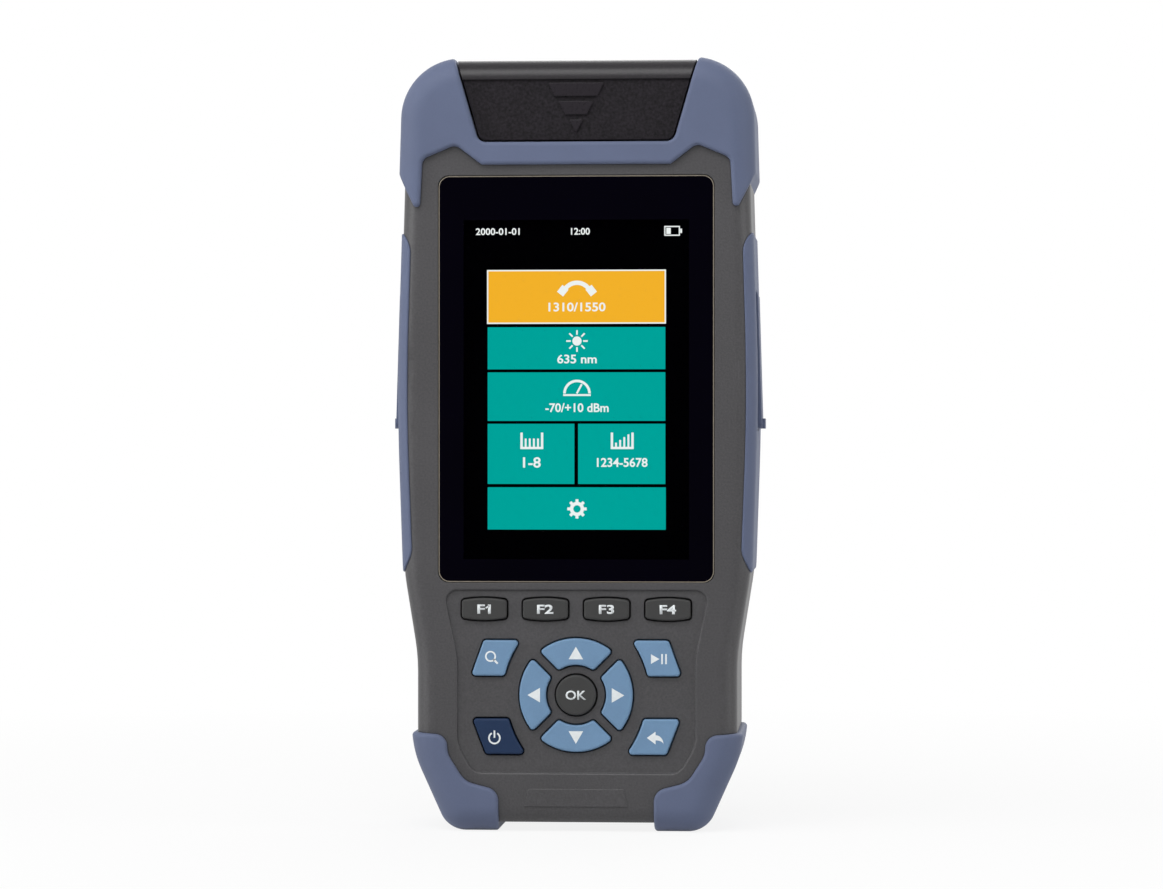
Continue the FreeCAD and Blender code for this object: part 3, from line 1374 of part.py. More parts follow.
talk_port, meter_port, locator_port = PORTS
talk_set_adapter = port_adapter("talk_set_adapter", *talk_port, size.talk_barrel)
power_meter_adapter = port_adapter("power_meter_adapter", *meter_port, size.meter_barrel)
fault_locator_adapter = port_adapter("fault_locator_adapter", *locator_port, size.locator_barrel)
talk_set_module = block(
    "talk_set_module",
    talk_port[0] - size.talk_module_width / 2, -(front - board_back), port_bottom - size.talk_module_height,
    size.talk_module_width, size.talk_module_depth, size.talk_module_height,
)
photodiode = drum(
    "photodiode", meter_port[0], meter_port[1], port_bottom - size.photodiode_height,
    size.photodiode_radius, size.photodiode_height,
)
fault_locator_laser = drum(
    "fault_locator_laser", locator_port[0], locator_port[1], port_bottom - size.laser_height,
    size.laser_radius, size.laser_height,
)

# Dust cover on its hinge pin
dust_cover = new_body("dust_cover")
cover_low = bay_z + size.cover_gap
cover_slope = size.bay_flare / size.bay_height
cover_low_half = size.bay_half + cover_slope * size.cover_gap - size.cover_gap
cover_high_half = size.bay_half + cover_slope * (cover_top - bay_z) - size.cover_gap
cover_section = sketched(
    dust_cover, "section",
    [
        (-front, cover_low, 0),
        (-front + size.cover_wall, cover_low, 0),
        (-front + size.cover_wall, cover_top - size.cover_wall, size.cover_bead_height - size.cover_wall),
        (hinge_y, cover_top - size.cover_wall, 0),
        (hinge_y, cover_top, 0),
        (-front, cover_top, size.cover_bead_height),
    ],
    role="YZ_Plane",
)
pad(dust_cover, cover_section, 2 * cover_high_half, symmetric=True)
arm_start = front - size.hinge_zone - size.cover_gap
arm_half = size.bay_half - size.cover_gap
side_cuts = new_sketch(dust_cover, "side_cuts")
arm_cuts = new_sketch(dust_cover, "arm_cuts", "XY_Plane", cover_top)
for side in (-1, 1):
    rounded_outline(side_cuts, [
        (side * cover_low_half, cover_low, 0),
        (side * outside, cover_low, 0),
        (side * outside, cover_top, 0),
        (side * cover_high_half, cover_top, 0),
    ])
    block_outline(arm_cuts, side * arm_half, arm_start, side * outside, front)
pocket(dust_cover, side_cuts, 2 * case_depth, symmetric=True)


def on_cover_corner(edge):
    box = edge.BoundBox
    return along(edge, Y_AXIS) and near(box.ZMin, cover_low) and near(box.ZMax, cover_low)


fillet(dust_cover, size.bay_round - size.cover_gap, on_cover_corner)
pocket(dust_cover, arm_cuts, size.hinge_radius)
barrel = circles(dust_cover, "barrel", [(hinge_y, hinge_z)], size.hinge_radius, role="YZ_Plane")
pad(dust_cover, barrel, 2 * arm_half, symmetric=True)
pin_bore = size.hinge_pin_radius + size.hinge_pin_gap
bore = circles(dust_cover, "pin_bore", [(hinge_y, hinge_z)], pin_bore, role="YZ_Plane")
pocket(dust_cover, bore, 2 * arm_half, symmetric=True)
bead_low = cover_top - size.cover_bead_height
panel_step = slab(dust_cover, "panel_step", -outside, below, outside, bead_low, offset=front)
pocket(dust_cover, panel_step, size.cover_panel_step)
cover_face = front - size.cover_panel_step
FINGER_MARKS = 3
finger_marks = new_sketch(dust_cover, "finger_marks", offset=cover_face)
for mark in range(FINGER_MARKS):
    mark_high = bead_low - size.cover_mark_drop - mark * size.cover_mark_pitch
    mark_low = mark_high - size.cover_mark_height
    mark_half = size.cover_mark_half - mark * size.cover_mark_step
    upper = [(mark_half, mark_high, size.cover_mark_round), (-mark_half, mark_high, size.cover_mark_round)]
    if mark == FINGER_MARKS - 1:
        rounded_outline(finger_marks, [(0, mark_low, size.cover_mark_round)] + upper)
    else:
        low_half = mark_half - size.cover_mark_taper
        rounded_outline(finger_marks, [(-low_half, mark_low, 0), (low_half, mark_low, 0)] + upper)
pad(dust_cover, finger_marks, size.cover_mark_rise)

cover_hinge_pin = new_body("cover_hinge_pin")
pin = circles(cover_hinge_pin, "pin", [(hinge_y, hinge_z)], size.hinge_pin_radius, role="YZ_Plane")
pad(cover_hinge_pin, pin, 2 * (size.bay_half + size.hinge_pin_bite - size.hinge_pin_gap), symmetric=True)

# Side sockets
socket_face = side_half(flap_z) - size.inlay - size.socket_recess
jack_y0 = -(front - board_back)
network_jack = new_body("network_jack")
jack_outline = slab(
    network_jack, "outline",
    jack_y0, flap_z - size.jack_width / 2, jack_y0 + size.jack_height, flap_z + size.jack_width / 2,
    role="YZ_Plane", offset=-socket_face,
)
pad(network_jack, jack_outline, size.jack_depth)
mouth_y0 = jack_y0 + size.jack_mouth_floor
mouth_y1 = mouth_y0 + size.jack_mouth_height
mouth_half = size.jack_mouth_width / 2
mouth = slab(
    network_jack, "mouth", mouth_y0, flap_z - mouth_half, mouth_y1, flap_z + mouth_half,
    role="YZ_Plane", offset=-socket_face,
)
pocket(network_jack, mouth, size.jack_mouth_depth, backwards=True)
latch_half = size.jack_latch_width / 2
latch = slab(
    network_jack, "latch_slot",
    mouth_y1, flap_z - latch_half, mouth_y1 + size.jack_latch_height, flap_z + latch_half,
    role="YZ_Plane", offset=-socket_face,
)
pocket(network_jack, latch, size.jack_mouth_depth, backwards=True)

network_jack_contacts = new_body("network_jack_contacts")
contact_sketch = new_sketch(
    network_jack_contacts, "contacts", "YZ_Plane", size.jack_mouth_depth - size.contact_length - socket_face
)
CONTACTS = 8
for contact in range(CONTACTS):
    contact_z = flap_z + (contact - (CONTACTS - 1) / 2) * size.contact_pitch
    block_outline(
        contact_sketch, mouth_y0, contact_z - size.contact_width / 2,
        mouth_y0 + size.contact_height, contact_z + size.contact_width / 2,
    )
pad(network_jack_contacts, contact_sketch, size.contact_length)

charging_socket = new_body("charging_socket")
usb_y0 = -(front - board_back)
usb_y1 = usb_y0 + size.usb_height
usb_half = size.usb_width / 2
usb_round = (size.usb_height - size.usb_flat) / 2
usb_outline = slab(
    charging_socket, "outline", usb_y0, flap_z - usb_half, usb_y1, flap_z + usb_half, usb_round,
    role="YZ_Plane", offset=socket_face,
)
pad(charging_socket, usb_outline, size.usb_depth, backwards=True)
usb_mouth = slab(
    charging_socket, "mouth",
    usb_y0 + size.usb_wall, flap_z - usb_half + size.usb_wall,
    usb_y1 - size.usb_wall, flap_z + usb_half - size.usb_wall, usb_round - size.usb_wall,
    role="YZ_Plane", offset=socket_face,
)
pocket(charging_socket, usb_mouth, size.usb_mouth_depth)
charging_socket_tongue = block(
    "charging_socket_tongue", socket_face - size.usb_mouth_depth,
    usb_y0 + size.usb_height / 2 - size.usb_tongue_thickness / 2, flap_z - size.usb_tongue_width / 2,
    size.usb_tongue_length, size.usb_tongue_thickness, size.usb_tongue_width,
)

# Rubber port flaps, each with a hinge bead along its upper end, a pull tab and a plug
flap_thickness = size.grip_proud + size.flap_proud + size.inlay - size.flap_seat_gap
flap_hinge_z = flap_z1 - flap_thickness / 2


def flap_face(z):
    return side_half(z) + size.grip_proud + size.flap_proud


def on_flap_foot(edge):
    return along(edge, X_AXIS) and near(edge.BoundBox.ZMin, flap_z0) and near(edge.BoundBox.ZMax, flap_z0)


def port_flap(label, side, socket_f, socket_width, socket_height):
    body = new_body(label)
    strip = [
        (flap_face(flap_z0) - flap_thickness, flap_z0, 0),
        (flap_face(flap_z0), flap_z0, 0),
        (flap_face(flap_hinge_z), flap_hinge_z, 0),
        (flap_face(flap_hinge_z) - flap_thickness, flap_hinge_z, 0),
    ]
    corners = [(side * x, z, radius) for x, z, radius in strip]
    pad(body, sketched(body, "strip", corners, offset=flap_f), size.flap_depth, symmetric=True)
    fillet(body, size.flap_round, on_flap_foot)
    hinge_x = side * (flap_face(flap_hinge_z) - flap_thickness / 2)
    bead = circles(body, "hinge_bead", [(hinge_x, flap_hinge_z)], flap_thickness / 2, offset=flap_f)
    pad(body, bead, size.flap_depth, symmetric=True)
    tab_x = flap_face(flap_z0)
    tab = slab(
        body, "pull_tab", side * (tab_x - flap_thickness / 2), flap_z0, side * (tab_x + size.flap_tab),
        flap_z0 + size.flap_tab_height, offset=flap_f,
    )
    pad(body, tab, size.flap_tab_depth, symmetric=True)
    plug_x = flap_face(flap_z) - flap_thickness
    plug_half = socket_width / 2 + size.socket_gap - size.flap_plug_gap
    plug = slab(
        body, "plug", side * (plug_x - size.flap_plug), flap_z - plug_half,
        side * (plug_x + flap_thickness / 2), flap_z + plug_half, offset=socket_f,
    )
    pad(body, plug, socket_height + 2 * (size.socket_gap - size.flap_plug_gap), symmetric=True)
    return body


left_port_flap = port_flap("left_port_flap", -1, jack_f, size.jack_width, size.jack_height)
right_port_flap = port_flap("right_port_flap", 1, usb_f, size.usb_width, size.usb_height)

# Check and write every piece
PIECES = [
    front_shell, rear_shell, top_bumper, left_corner_bumper, right_corner_bumper,
    left_side_grip, right_side_grip, window_lens, lens_gasket, display_panel, display_backlight,
    main_board, board_screws, keypad_mat, dome_switches, buzzer, *keys,
    port_plate, port_plate_screws, talk_set_adapter, power_meter_adapter, fault_locator_adapter,
    talk_set_module, photodiode, fault_locator_laser, dust_cover, cover_hinge_pin,
    network_jack, network_jack_contacts, charging_socket, charging_socket_tongue,
    left_port_flap, right_port_flap, battery_pack, battery_door, battery_door_screws, case_screws,
]
doc.recompute()
for item in doc.Objects:
    if "Invalid" in item.State or "Error" in item.State:
        raise RuntimeError(f"{item.Label} failed: {item.State}")
for piece in PIECES:
    if piece.Shape.isNull() or not piece.Shape.isValid():
        raise RuntimeError(f"{piece.Label} has no valid shape")
os.makedirs("parts", exist_ok=True)
for piece in PIECES:
    piece.Shape.exportStep(f"parts/{piece.Label}.step")
print(f"{len(PIECES)} pieces written")
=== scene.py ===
import bmesh
import bpy
import math
from mathutils import Matrix, Vector


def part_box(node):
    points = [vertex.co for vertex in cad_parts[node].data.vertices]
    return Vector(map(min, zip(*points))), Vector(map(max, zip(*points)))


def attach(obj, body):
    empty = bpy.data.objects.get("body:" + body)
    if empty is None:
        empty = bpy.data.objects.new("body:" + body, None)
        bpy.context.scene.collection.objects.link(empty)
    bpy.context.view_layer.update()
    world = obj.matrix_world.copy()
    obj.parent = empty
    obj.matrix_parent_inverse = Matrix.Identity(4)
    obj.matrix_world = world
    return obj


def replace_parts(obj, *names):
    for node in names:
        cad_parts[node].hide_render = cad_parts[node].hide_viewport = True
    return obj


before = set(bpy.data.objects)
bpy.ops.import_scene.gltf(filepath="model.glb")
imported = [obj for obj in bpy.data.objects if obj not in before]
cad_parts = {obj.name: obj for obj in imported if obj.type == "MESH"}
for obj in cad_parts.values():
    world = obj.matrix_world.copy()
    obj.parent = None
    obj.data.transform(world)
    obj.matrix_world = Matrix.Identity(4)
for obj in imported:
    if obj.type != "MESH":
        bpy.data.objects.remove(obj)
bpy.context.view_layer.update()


# Grey case: two injection-moulded shells and the battery door, in one dark grey plastic with a fine
# spark-eroded texture. The mould gives it a dry sheen, a little smoother where hands rub the edges.
class Wire:
    """One output of a node. Sums, differences and products of wires add Math nodes."""

    def __init__(self, shading, socket):
        self.shading = shading
        self.socket = socket

    def combine(self, operation, first, second):
        return self.shading.node("ShaderNodeMath", {"operation": operation}, {0: first, 1: second})

    def __add__(self, other):
        return self.combine("ADD", self, other)

    def __radd__(self, other):
        return self.combine("ADD", other, self)

    def __sub__(self, other):
        return self.combine("SUBTRACT", self, other)

    def __rsub__(self, other):
        return self.combine("SUBTRACT", other, self)

    def __mul__(self, other):
        return self.combine("MULTIPLY", self, other)

    def __rmul__(self, other):
        return self.combine("MULTIPLY", other, self)

    def __lt__(self, other):
        return self.combine("LESS_THAN", self, other)

    def __abs__(self):
        return self.combine("ABSOLUTE", self, 0.0)


class Shading:
    """The nodes of a material or of the world."""

    def __init__(self, tree):
        self.nodes = tree.nodes
        self.links = tree.links

    def feed(self, socket, value):
        if isinstance(value, Wire):
            self.links.new(value.socket, socket)
        else:
            socket.default_value = value

    def node(self, kind, settings=None, sockets=None, output=0):
        """A node of that kind: its settings first, then the values or wires of its sockets."""
        made = self.nodes.new(kind)
        for name, value in (settings or {}).items():
            if name == "stops":
                ramp = made.color_ramp.elements
                for element, (place, colour) in zip((ramp[0], ramp[1]), value):
                    element.position = place
                    element.color = colour
            else:
                setattr(made, name, value)
        for name, value in (sockets or {}).items():
            self.feed(made.inputs[name], value)
        return Wire(self, made.outputs[output])


class Finish(Shading):
    """A material under construction: its shader and the nodes that feed it."""

    def __init__(self, name, roughness=0.5, metallic=0.0, **sockets):
        self.material = bpy.data.materials.new(name)
        self.material.use_nodes = True
        super().__init__(self.material.node_tree)
        self.shader = self.nodes["Principled BSDF"]
        self.set(Roughness=roughness, Metallic=metallic, **sockets)

    def set(self, **sockets):
        for name, value in sockets.items():
            self.feed(self.shader.inputs[name.replace("_", " ")], value)

    def place(self):
        """Where a point lies on the tester, in metres."""
        return self.node("ShaderNodeTexCoord", output="Object")

    def along(self, axis):
        """How far along X, Y or Z a point lies on the tester, in metres."""
        return self.node("ShaderNodeSeparateXYZ", {}, {"Vector": self.place()}, output=axis)

    def noise(self, scale, detail=2.0, roughness=0.5, stretch=(1, 1, 1)):
        place = self.node("ShaderNodeMapping", {}, {"Vector": self.place(), "Scale": stretch})
        sockets = {"Vector": place, "Scale": scale, "Detail": detail, "Roughness": roughness}
        return self.node("ShaderNodeTexNoise", {}, sockets)

    def shade(self, colour, mottle, spread):
        """The colour, drifting by a share of spread either way as the mottle goes from 0 to 1."""
        dark = [channel * (1 - spread) for channel in colour] + [1]
        light = [min(1, channel * (1 + spread)) for channel in colour] + [1]
        stops = [(0.3, dark), (0.7, light)]
        self.set(Base_Color=self.node("ShaderNodeValToRGB", {"stops": stops}, {"Fac": mottle}))

    def texture(self, height, strength, depth, soft_edge=0):
        """A bump of that depth in metres, over edges that are rounded off by soft_edge."""
        sockets = {"Height": height, "Strength": strength, "Distance": depth}
        if soft_edge:
            sockets["Normal"] = self.node("ShaderNodeBevel", {"samples": 6}, {"Radius": soft_edge})
        self.set(Normal=self.node("ShaderNodeBump", {}, sockets))


def srgb(red, green, blue):
    """A colour as it is read off a screen, turned into the light values that a shader takes."""
    values = (red / 255, green / 255, blue / 255)
    return [v / 12.92 if v <= 0.04045 else ((v + 0.055) / 1.055) ** 2.4 for v in values]


def dress(finish, *names):
    for name in names:
        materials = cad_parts[name].data.materials
        materials.clear()
        materials.append(finish.material)


CASE_GREY = srgb(64, 63, 65)
case_plastic = Finish("case_plastic", Specular_IOR_Level=0.42)
case_grain = case_plastic.noise(2300, detail=3)
case_drift = case_plastic.noise(45, detail=3)
case_plastic.shade(CASE_GREY, case_drift * 0.3 + case_grain * 0.7, 0.24)
case_plastic.set(Roughness=0.36 + case_grain * 0.14)
case_plastic.texture(case_grain, 0.5, 0.00008, soft_edge=0.0003)
dress(case_plastic, "front_shell", "rear_shell", "battery_door")

# Bumpers, side grips and port flaps: a soft blue-grey rubber moulded over the shells. It is matt, with
# a powdery bloom and edges that the mould leaves round.
BUMPER_BLUE = srgb(91, 100, 126)
bumper_rubber = Finish("bumper_rubber", Specular_IOR_Level=0.25, Sheen_Weight=0.05, Sheen_Roughness=0.6)
rubber_bloom = bumper_rubber.noise(70, detail=4)
rubber_grain = bumper_rubber.noise(3200, detail=2)
bumper_rubber.shade(BUMPER_BLUE, rubber_bloom * 0.7 + rubber_grain * 0.3, 0.07)
bumper_rubber.set(Roughness=0.52 + rubber_bloom * 0.14)
bumper_rubber.texture(rubber_grain, 0.2, 0.00004, soft_edge=0.0005)
dress(
    bumper_rubber, "top_bumper", "left_corner_bumper", "right_corner_bumper", "left_side_grip",
    "right_side_grip", "left_port_flap", "right_port_flap",
)

# Dust cover: one black plastic moulding on a steel pin, with a coarser leather-like grain than the case
# and a rolled bead along its top edge, which thumbs have polished.
MM = 0.001
COVER_BLACK = srgb(27, 24, 28)
BEAD_BOTTOM, BEAD_BACK = 163.2 * MM, -15.0 * MM
MARK_FOOT = -19.75 * MM
cover_plastic = Finish("cover_plastic", Specular_IOR_Level=0.13, Coat_Roughness=0.3)
cover_grain = cover_plastic.noise(1600, detail=4, roughness=0.6)
cover_y = cover_plastic.along("Y")
below_bead = cover_plastic.along("Z") < BEAD_BOTTOM
on_bead = (1 - below_bead) * (cover_y < BEAD_BACK)
on_mark = below_bead * (cover_y < MARK_FOOT)
smooth = 1 - (on_mark * 0.85 + on_bead * 0.5)
# The raised marks' faces are painted a little lighter than the grain round them: a painted sheen.
cover_plastic.shade(COVER_BLACK, (cover_grain - 0.5) * smooth + 0.5 + on_mark * 0.12, 0.85)
cover_gloss = on_bead * 0.14 + on_mark * 0.26
cover_plastic.set(Roughness=0.44 - cover_gloss + cover_grain * 0.22, Coat_Weight=on_bead * 0.28)
cover_plastic.texture(cover_grain * smooth, 0.8, 0.00014, soft_edge=0.0003)
dress(cover_plastic, "dust_cover", "port_plate")

steel = Finish("bright_steel", metallic=1.0)
steel_brush = steel.noise(900, detail=3, stretch=(1, 1, 8))
steel.shade(srgb(178, 180, 184), steel_brush, 0.06)
steel.set(Roughness=0.24 + steel_brush * 0.16)
dress(
    steel, "cover_hinge_pin", "board_screws", "dome_switches", "photodiode", "charging_socket",
    "port_plate_screws", "battery_door_screws", "case_screws",
)

# Window: a cover lens printed black round the display and clear over it, on a thin black gasket.
# Its printed border has a faint blue cast, its surface is polished, and its cut edge has a painted
# highlight.
VIEW_HALF_WIDTH = 24.5 * MM
VIEW_LOW, VIEW_HIGH = 59.1 * MM, 132.7 * MM
lens = Finish("window_lens", Specular_IOR_Level=0.012)
lens_smear = lens.noise(60, detail=4)
lens.shade(srgb(2, 1, 8), lens_smear, 0.12)
lens.set(Roughness=0.06 + lens_smear * 0.06)
inside_sides = abs(lens.along("X")) < VIEW_HALF_WIDTH
inside_ends = abs(lens.along("Z") - (VIEW_LOW + VIEW_HIGH) / 2) < (VIEW_HIGH - VIEW_LOW) / 2
lens.set(Alpha=1 - inside_sides * inside_ends * 0.9)
dress(lens, "window_lens")


def finished(name, shape, finish, body):
    """The bmesh as a piece of the tester that rides on that body."""
    bmesh.ops.remove_doubles(shape, verts=shape.verts, dist=1e-7)
    bmesh.ops.recalc_face_normals(shape, faces=shape.faces)
    mesh = bpy.data.meshes.new(name)
    shape.to_mesh(mesh)
    shape.free()
    mesh.materials.append(finish.material)
    piece = bpy.data.objects.new(name, mesh)
    bpy.context.scene.collection.objects.link(piece)
    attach(piece, body)
    return piece


def thicken(shape, faces, y_back, y_front):
    """Faces drawn in X and Z, set at y_back and raised towards the front as far as y_front."""
    verts = {vert for face in faces for vert in face.verts}
    for vert in verts:
        vert.co.y = y_back
    grown = bmesh.ops.extrude_face_region(shape, geom=faces)["geom"]
    raised = [item for item in grown if isinstance(item, bmesh.types.BMVert)]
    bmesh.ops.translate(shape, verts=raised, vec=(0, y_front - y_back, 0))


FACING_FRONT = Matrix.Rotation(math.pi / 2, 4, "X")


LENS_LOW, LENS_HIGH = (Vector(corner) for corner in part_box("window_lens"))
LENS_ROUND = 2.4 * MM
EDGE_WIDTH, EDGE_PROUD = 0.2 * MM, 0.02 * MM
# A thin pale ring round the lens: a painted highlight of its cut edge catching the light.
lens_highlight_shape = bmesh.new()
lens_middle, lens_size = (LENS_LOW + LENS_HIGH) / 2, (LENS_HIGH - LENS_LOW) / 2
lens_spread = Matrix.Diagonal((lens_size.x, lens_size.z, 1, 1))
lens_place = Matrix.Translation(lens_middle) @ FACING_FRONT @ lens_spread
bmesh.ops.create_grid(lens_highlight_shape, x_segments=1, y_segments=1, size=1, matrix=lens_place)
bmesh.ops.bevel(
    lens_highlight_shape, geom=lens_highlight_shape.verts[:], offset=LENS_ROUND, affect="VERTICES", segments=8, profile=0.5,
    material=-1,
)
pane = lens_highlight_shape.faces[:]
rim_faces = bmesh.ops.inset_region(
    lens_highlight_shape, faces=pane, thickness=EDGE_WIDTH, use_boundary=True, use_even_offset=True,
)["faces"]
bmesh.ops.delete(lens_highlight_shape, geom=pane, context="FACES_ONLY")
thicken(lens_highlight_shape, rim_faces, LENS_LOW.y + EDGE_PROUD, LENS_LOW.y - EDGE_PROUD)
# The ring's pale colour is the painted highlight.
rim_highlight_finish = Finish("painted_lens_rim_highlight", roughness=0.3)
rim_highlight_finish.shade(srgb(122, 114, 101), rim_highlight_finish.noise(900, detail=3), 0.15)
finished("window_painted_highlight_ring", lens_highlight_shape, rim_highlight_finish, "case")

gasket_rubber = Finish("gasket_rubber", roughness=0.7)
gasket_rubber.shade(srgb(24, 24, 24), gasket_rubber.noise(900), 0.15)
dress(gasket_rubber, "lens_gasket")

# Display: a colour panel on a white backlight, lit with a menu of one amber and five teal tiles under a
# row with the clock and the battery. The tiles carry plain pictograms and numbers.
panel_black = Finish("display_black", roughness=0.25, Specular_IOR_Level=0.0)
panel_black.shade(srgb(1, 1, 1), panel_black.noise(400), 0.2)
dress(panel_black, "display_panel")
backlight_white = Finish("backlight_white", roughness=0.35)
backlight_white.shade(srgb(226, 226, 222), backlight_white.noise(200), 0.03)
dress(backlight_white, "display_backlight")

PANEL_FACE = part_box("display_panel")[0][1]
PIXEL = 0.153 * MM


def lit_pixels(name, colour):
    """Pixels of one colour, with the faint grid that the panel shows from close by."""
    glow = Finish(name, roughness=0.4, Specular_IOR_Level=0.0, Emission_Strength=1.28)
    column, row = (
        glow.node("ShaderNodeMath", {"operation": "PINGPONG"}, {0: glow.along(axis), 1: PIXEL / 2})
        * (2 / PIXEL)
        for axis in "XZ"
    )
    stops = [(0.0, [c * 0.88 for c in colour] + [1]), (0.35, colour + [1])]
    lit = glow.node("ShaderNodeValToRGB", {"stops": stops}, {"Fac": column * row})
    glow.set(Base_Color=(0, 0, 0, 1), Emission_Color=lit)
    return glow


amber_light = lit_pixels("amber_pixels", srgb(244, 178, 42))
teal_light = lit_pixels("teal_pixels", srgb(0, 163, 154))
white_light = lit_pixels("white_pixels", srgb(238, 244, 242))


def draw_plate(shape, x0, z0, x1, z1, turn=0.0):
    """A flat rectangle, turned about its middle."""
    place = Matrix.Translation(((x0 + x1) / 2 * MM, 0, (z0 + z1) / 2 * MM)) @ Matrix.Rotation(turn, 4, "Y")
    lie = place @ FACING_FRONT @ Matrix.Diagonal(((x1 - x0) / 2 * MM, (z1 - z0) / 2 * MM, 1, 1))
    made = bmesh.ops.create_grid(shape, x_segments=1, y_segments=1, size=1, matrix=lie)
    return list({face for vert in made["verts"] for face in vert.link_faces})


def draw_disc(shape, x, z, radius, sides=32, turn=0.0):
    """A flat disc, or a triangle or other many-sided figure."""
    lie = Matrix.Translation((x * MM, 0, z * MM)) @ Matrix.Rotation(turn, 4, "Y") @ FACING_FRONT
    made = bmesh.ops.create_circle(shape, cap_ends=True, segments=sides, radius=radius * MM, matrix=lie)
    return list({face for vert in made["verts"] for face in vert.link_faces})


def draw_ring(shape, x, z, inner, outer, start=0.0, sweep=360.0, steps=36):
    """A flat ring or part of one. Start and sweep are in degrees, clockwise from the top."""
    direction = Vector((math.sin(math.radians(start)), 0, math.cos(math.radians(start))))
    middle = Vector((x * MM, 0, z * MM))
    ends = [shape.verts.new(middle + direction * reach * MM) for reach in (inner, outer)]
    edge = shape.edges.new(ends)
    before = set(shape.faces)
    bmesh.ops.spin(
        shape, geom=ends + [edge], cent=middle, axis=(0, 1, 0), angle=math.radians(sweep), steps=steps,
        use_merge=sweep == 360.0,
    )
    return [face for face in shape.faces if face not in before]


def lettering(words, x, z, height, weight=0.0, stretch=1.0):
    """Words as a flat shape, centred on x and z, with capitals of that height and drawn out sideways."""
    curve = bpy.data.curves.new("lettering", "FONT")
    curve.body = words
    curve.align_x = "CENTER"
    curve.offset = weight
    curve.resolution_u = 4
    writing = bpy.data.objects.new("lettering", curve)
    bpy.context.scene.collection.objects.link(writing)
    bpy.context.view_layer.update()
    mesh = bpy.data.meshes.new_from_object(writing)
    bpy.data.objects.remove(writing)
    low = min(vert.co.y for vert in mesh.vertices)
    high = max(vert.co.y for vert in mesh.vertices)
    left = min(vert.co.x for vert in mesh.vertices)
    right = max(vert.co.x for vert in mesh.vertices)
    scale = height * MM / (high - low)
    middle = Matrix.Translation((-(left + right) / 2, -(low + high) / 2, 0))
    size = Matrix.Diagonal((scale * stretch, scale, 1, 1))
    mesh.transform(Matrix.Translation((x * MM, 0, z * MM)) @ FACING_FRONT @ size @ middle)
    shape = bmesh.new()
    shape.from_mesh(mesh)
    bpy.data.meshes.remove(mesh)
    bmesh.ops.remove_doubles(shape, verts=shape.verts, dist=1e-7)
    bmesh.ops.dissolve_limit(shape, angle_limit=0.01, verts=shape.verts, edges=shape.edges)
    return shape


TILE_BACK, TILE_FRONT = PANEL_FACE - 0.005 * MM, PANEL_FACE - 0.02 * MM
SIGN_BACK, SIGN_FRONT = PANEL_FACE - 0.022 * MM, PANEL_FACE - 0.035 * MM
TEAL_TILES = (
    (-19.5, 100.35, 19.22, 109.52),
    (-19.5, 89.13, 19.22, 99.7),
    (-19.5, 75.41, -0.57, 88.51),
    (0.24, 75.41, 19.22, 88.51),
    (-19.5, 65.49, 19.32, 74.7),
)
tile_frame = bmesh.new()
thicken(tile_frame, draw_plate(tile_frame, -19.65, 110.24, 19.37, 122.0), TILE_BACK + 0.004 * MM, TILE_BACK)
finished("menu_tile_outline", tile_frame, white_light, "case")
amber_tile = bmesh.new()
thicken(amber_tile, draw_plate(amber_tile, -19.35, 110.54, 19.07, 121.7), TILE_BACK, TILE_FRONT)
finished("menu_tile_amber", amber_tile, amber_light, "case")
teal_tiles = bmesh.new()
for corners in TEAL_TILES:
    thicken(teal_tiles, draw_plate(teal_tiles, *corners), TILE_BACK, TILE_FRONT)
finished("menu_tiles_teal", teal_tiles, teal_light, "case")

signs = bmesh.new()
faces = []
# Handset
faces += draw_ring(signs, 0, 116.0, 2.7, 3.65, start=-56, sweep=112, steps=14)
for side in (-1, 1):
    faces += draw_plate(signs, side * 3.1 - 0.95, 116.6, side * 3.1 + 0.95, 118.3, turn=side * 0.9)
# Lamp with rays
faces += draw_disc(signs, 0, 106.5, 1.0)
for ray in range(8):
    angle = ray * math.pi / 4
    x, z = 1.85 * math.sin(angle), 106.5 + 1.85 * math.cos(angle)
    faces += draw_plate(signs, x - 0.17, z - 0.5, x + 0.17, z + 0.5, turn=angle)
# Meter dial with its needle
faces += draw_ring(signs, 0, 95.1, 2.45, 3.0, start=-90, sweep=180, steps=24)
faces += draw_plate(signs, 0.5 - 0.2, 96.1 - 1.15, 0.5 + 0.2, 96.1 + 1.15, turn=0.5)
faces += draw_plate(signs, -3.0, 94.55, 3.0, 94.95)
# Plug with its pins on the left tile, and with wires in order on the right one
HALF_TILE_MIDDLE = 9.85
for plug_x, pin_rise in ((-HALF_TILE_MIDDLE, 0.0), (HALF_TILE_MIDDLE, 0.6)):
    faces += draw_plate(signs, plug_x - 2.5, 83.0, plug_x + 2.5, 83.5)
    for side in (-1, 1):
        faces += draw_plate(signs, plug_x + side * 2.24 - 0.25, 83.5, plug_x + side * 2.24 + 0.25, 86.6)
    for pin in range(4):
        x = plug_x - 1.35 + pin * 0.9
        top = 84.4 + pin * pin_rise if pin_rise else 85.3
        faces += draw_plate(signs, x - 0.2, 83.5, x + 0.2, top)
# Cogwheel
faces += draw_ring(signs, 0, 70.0, 0.8, 1.55)
for tooth in range(8):
    angle = tooth * math.pi / 4
    x, z = 1.75 * math.sin(angle), 70.0 + 1.75 * math.cos(angle)
    faces += draw_plate(signs, x - 0.32, z - 0.35, x + 0.32, z + 0.35, turn=angle)
# Battery
faces += draw_plate(signs, 19.0, 131.2, 22.4, 131.45)
faces += draw_plate(signs, 19.0, 129.3, 22.4, 129.55)
faces += draw_plate(signs, 19.01, 129.55, 19.25, 131.2)
faces += draw_plate(signs, 22.15, 129.55, 22.39, 131.2)
faces += draw_plate(signs, 22.45, 129.9, 22.85, 130.85)
faces += draw_plate(signs, 19.45, 129.7, 20.4, 131.05)
thicken(signs, faces, SIGN_BACK, SIGN_FRONT)
finished("menu_pictograms", signs, white_light, "case")

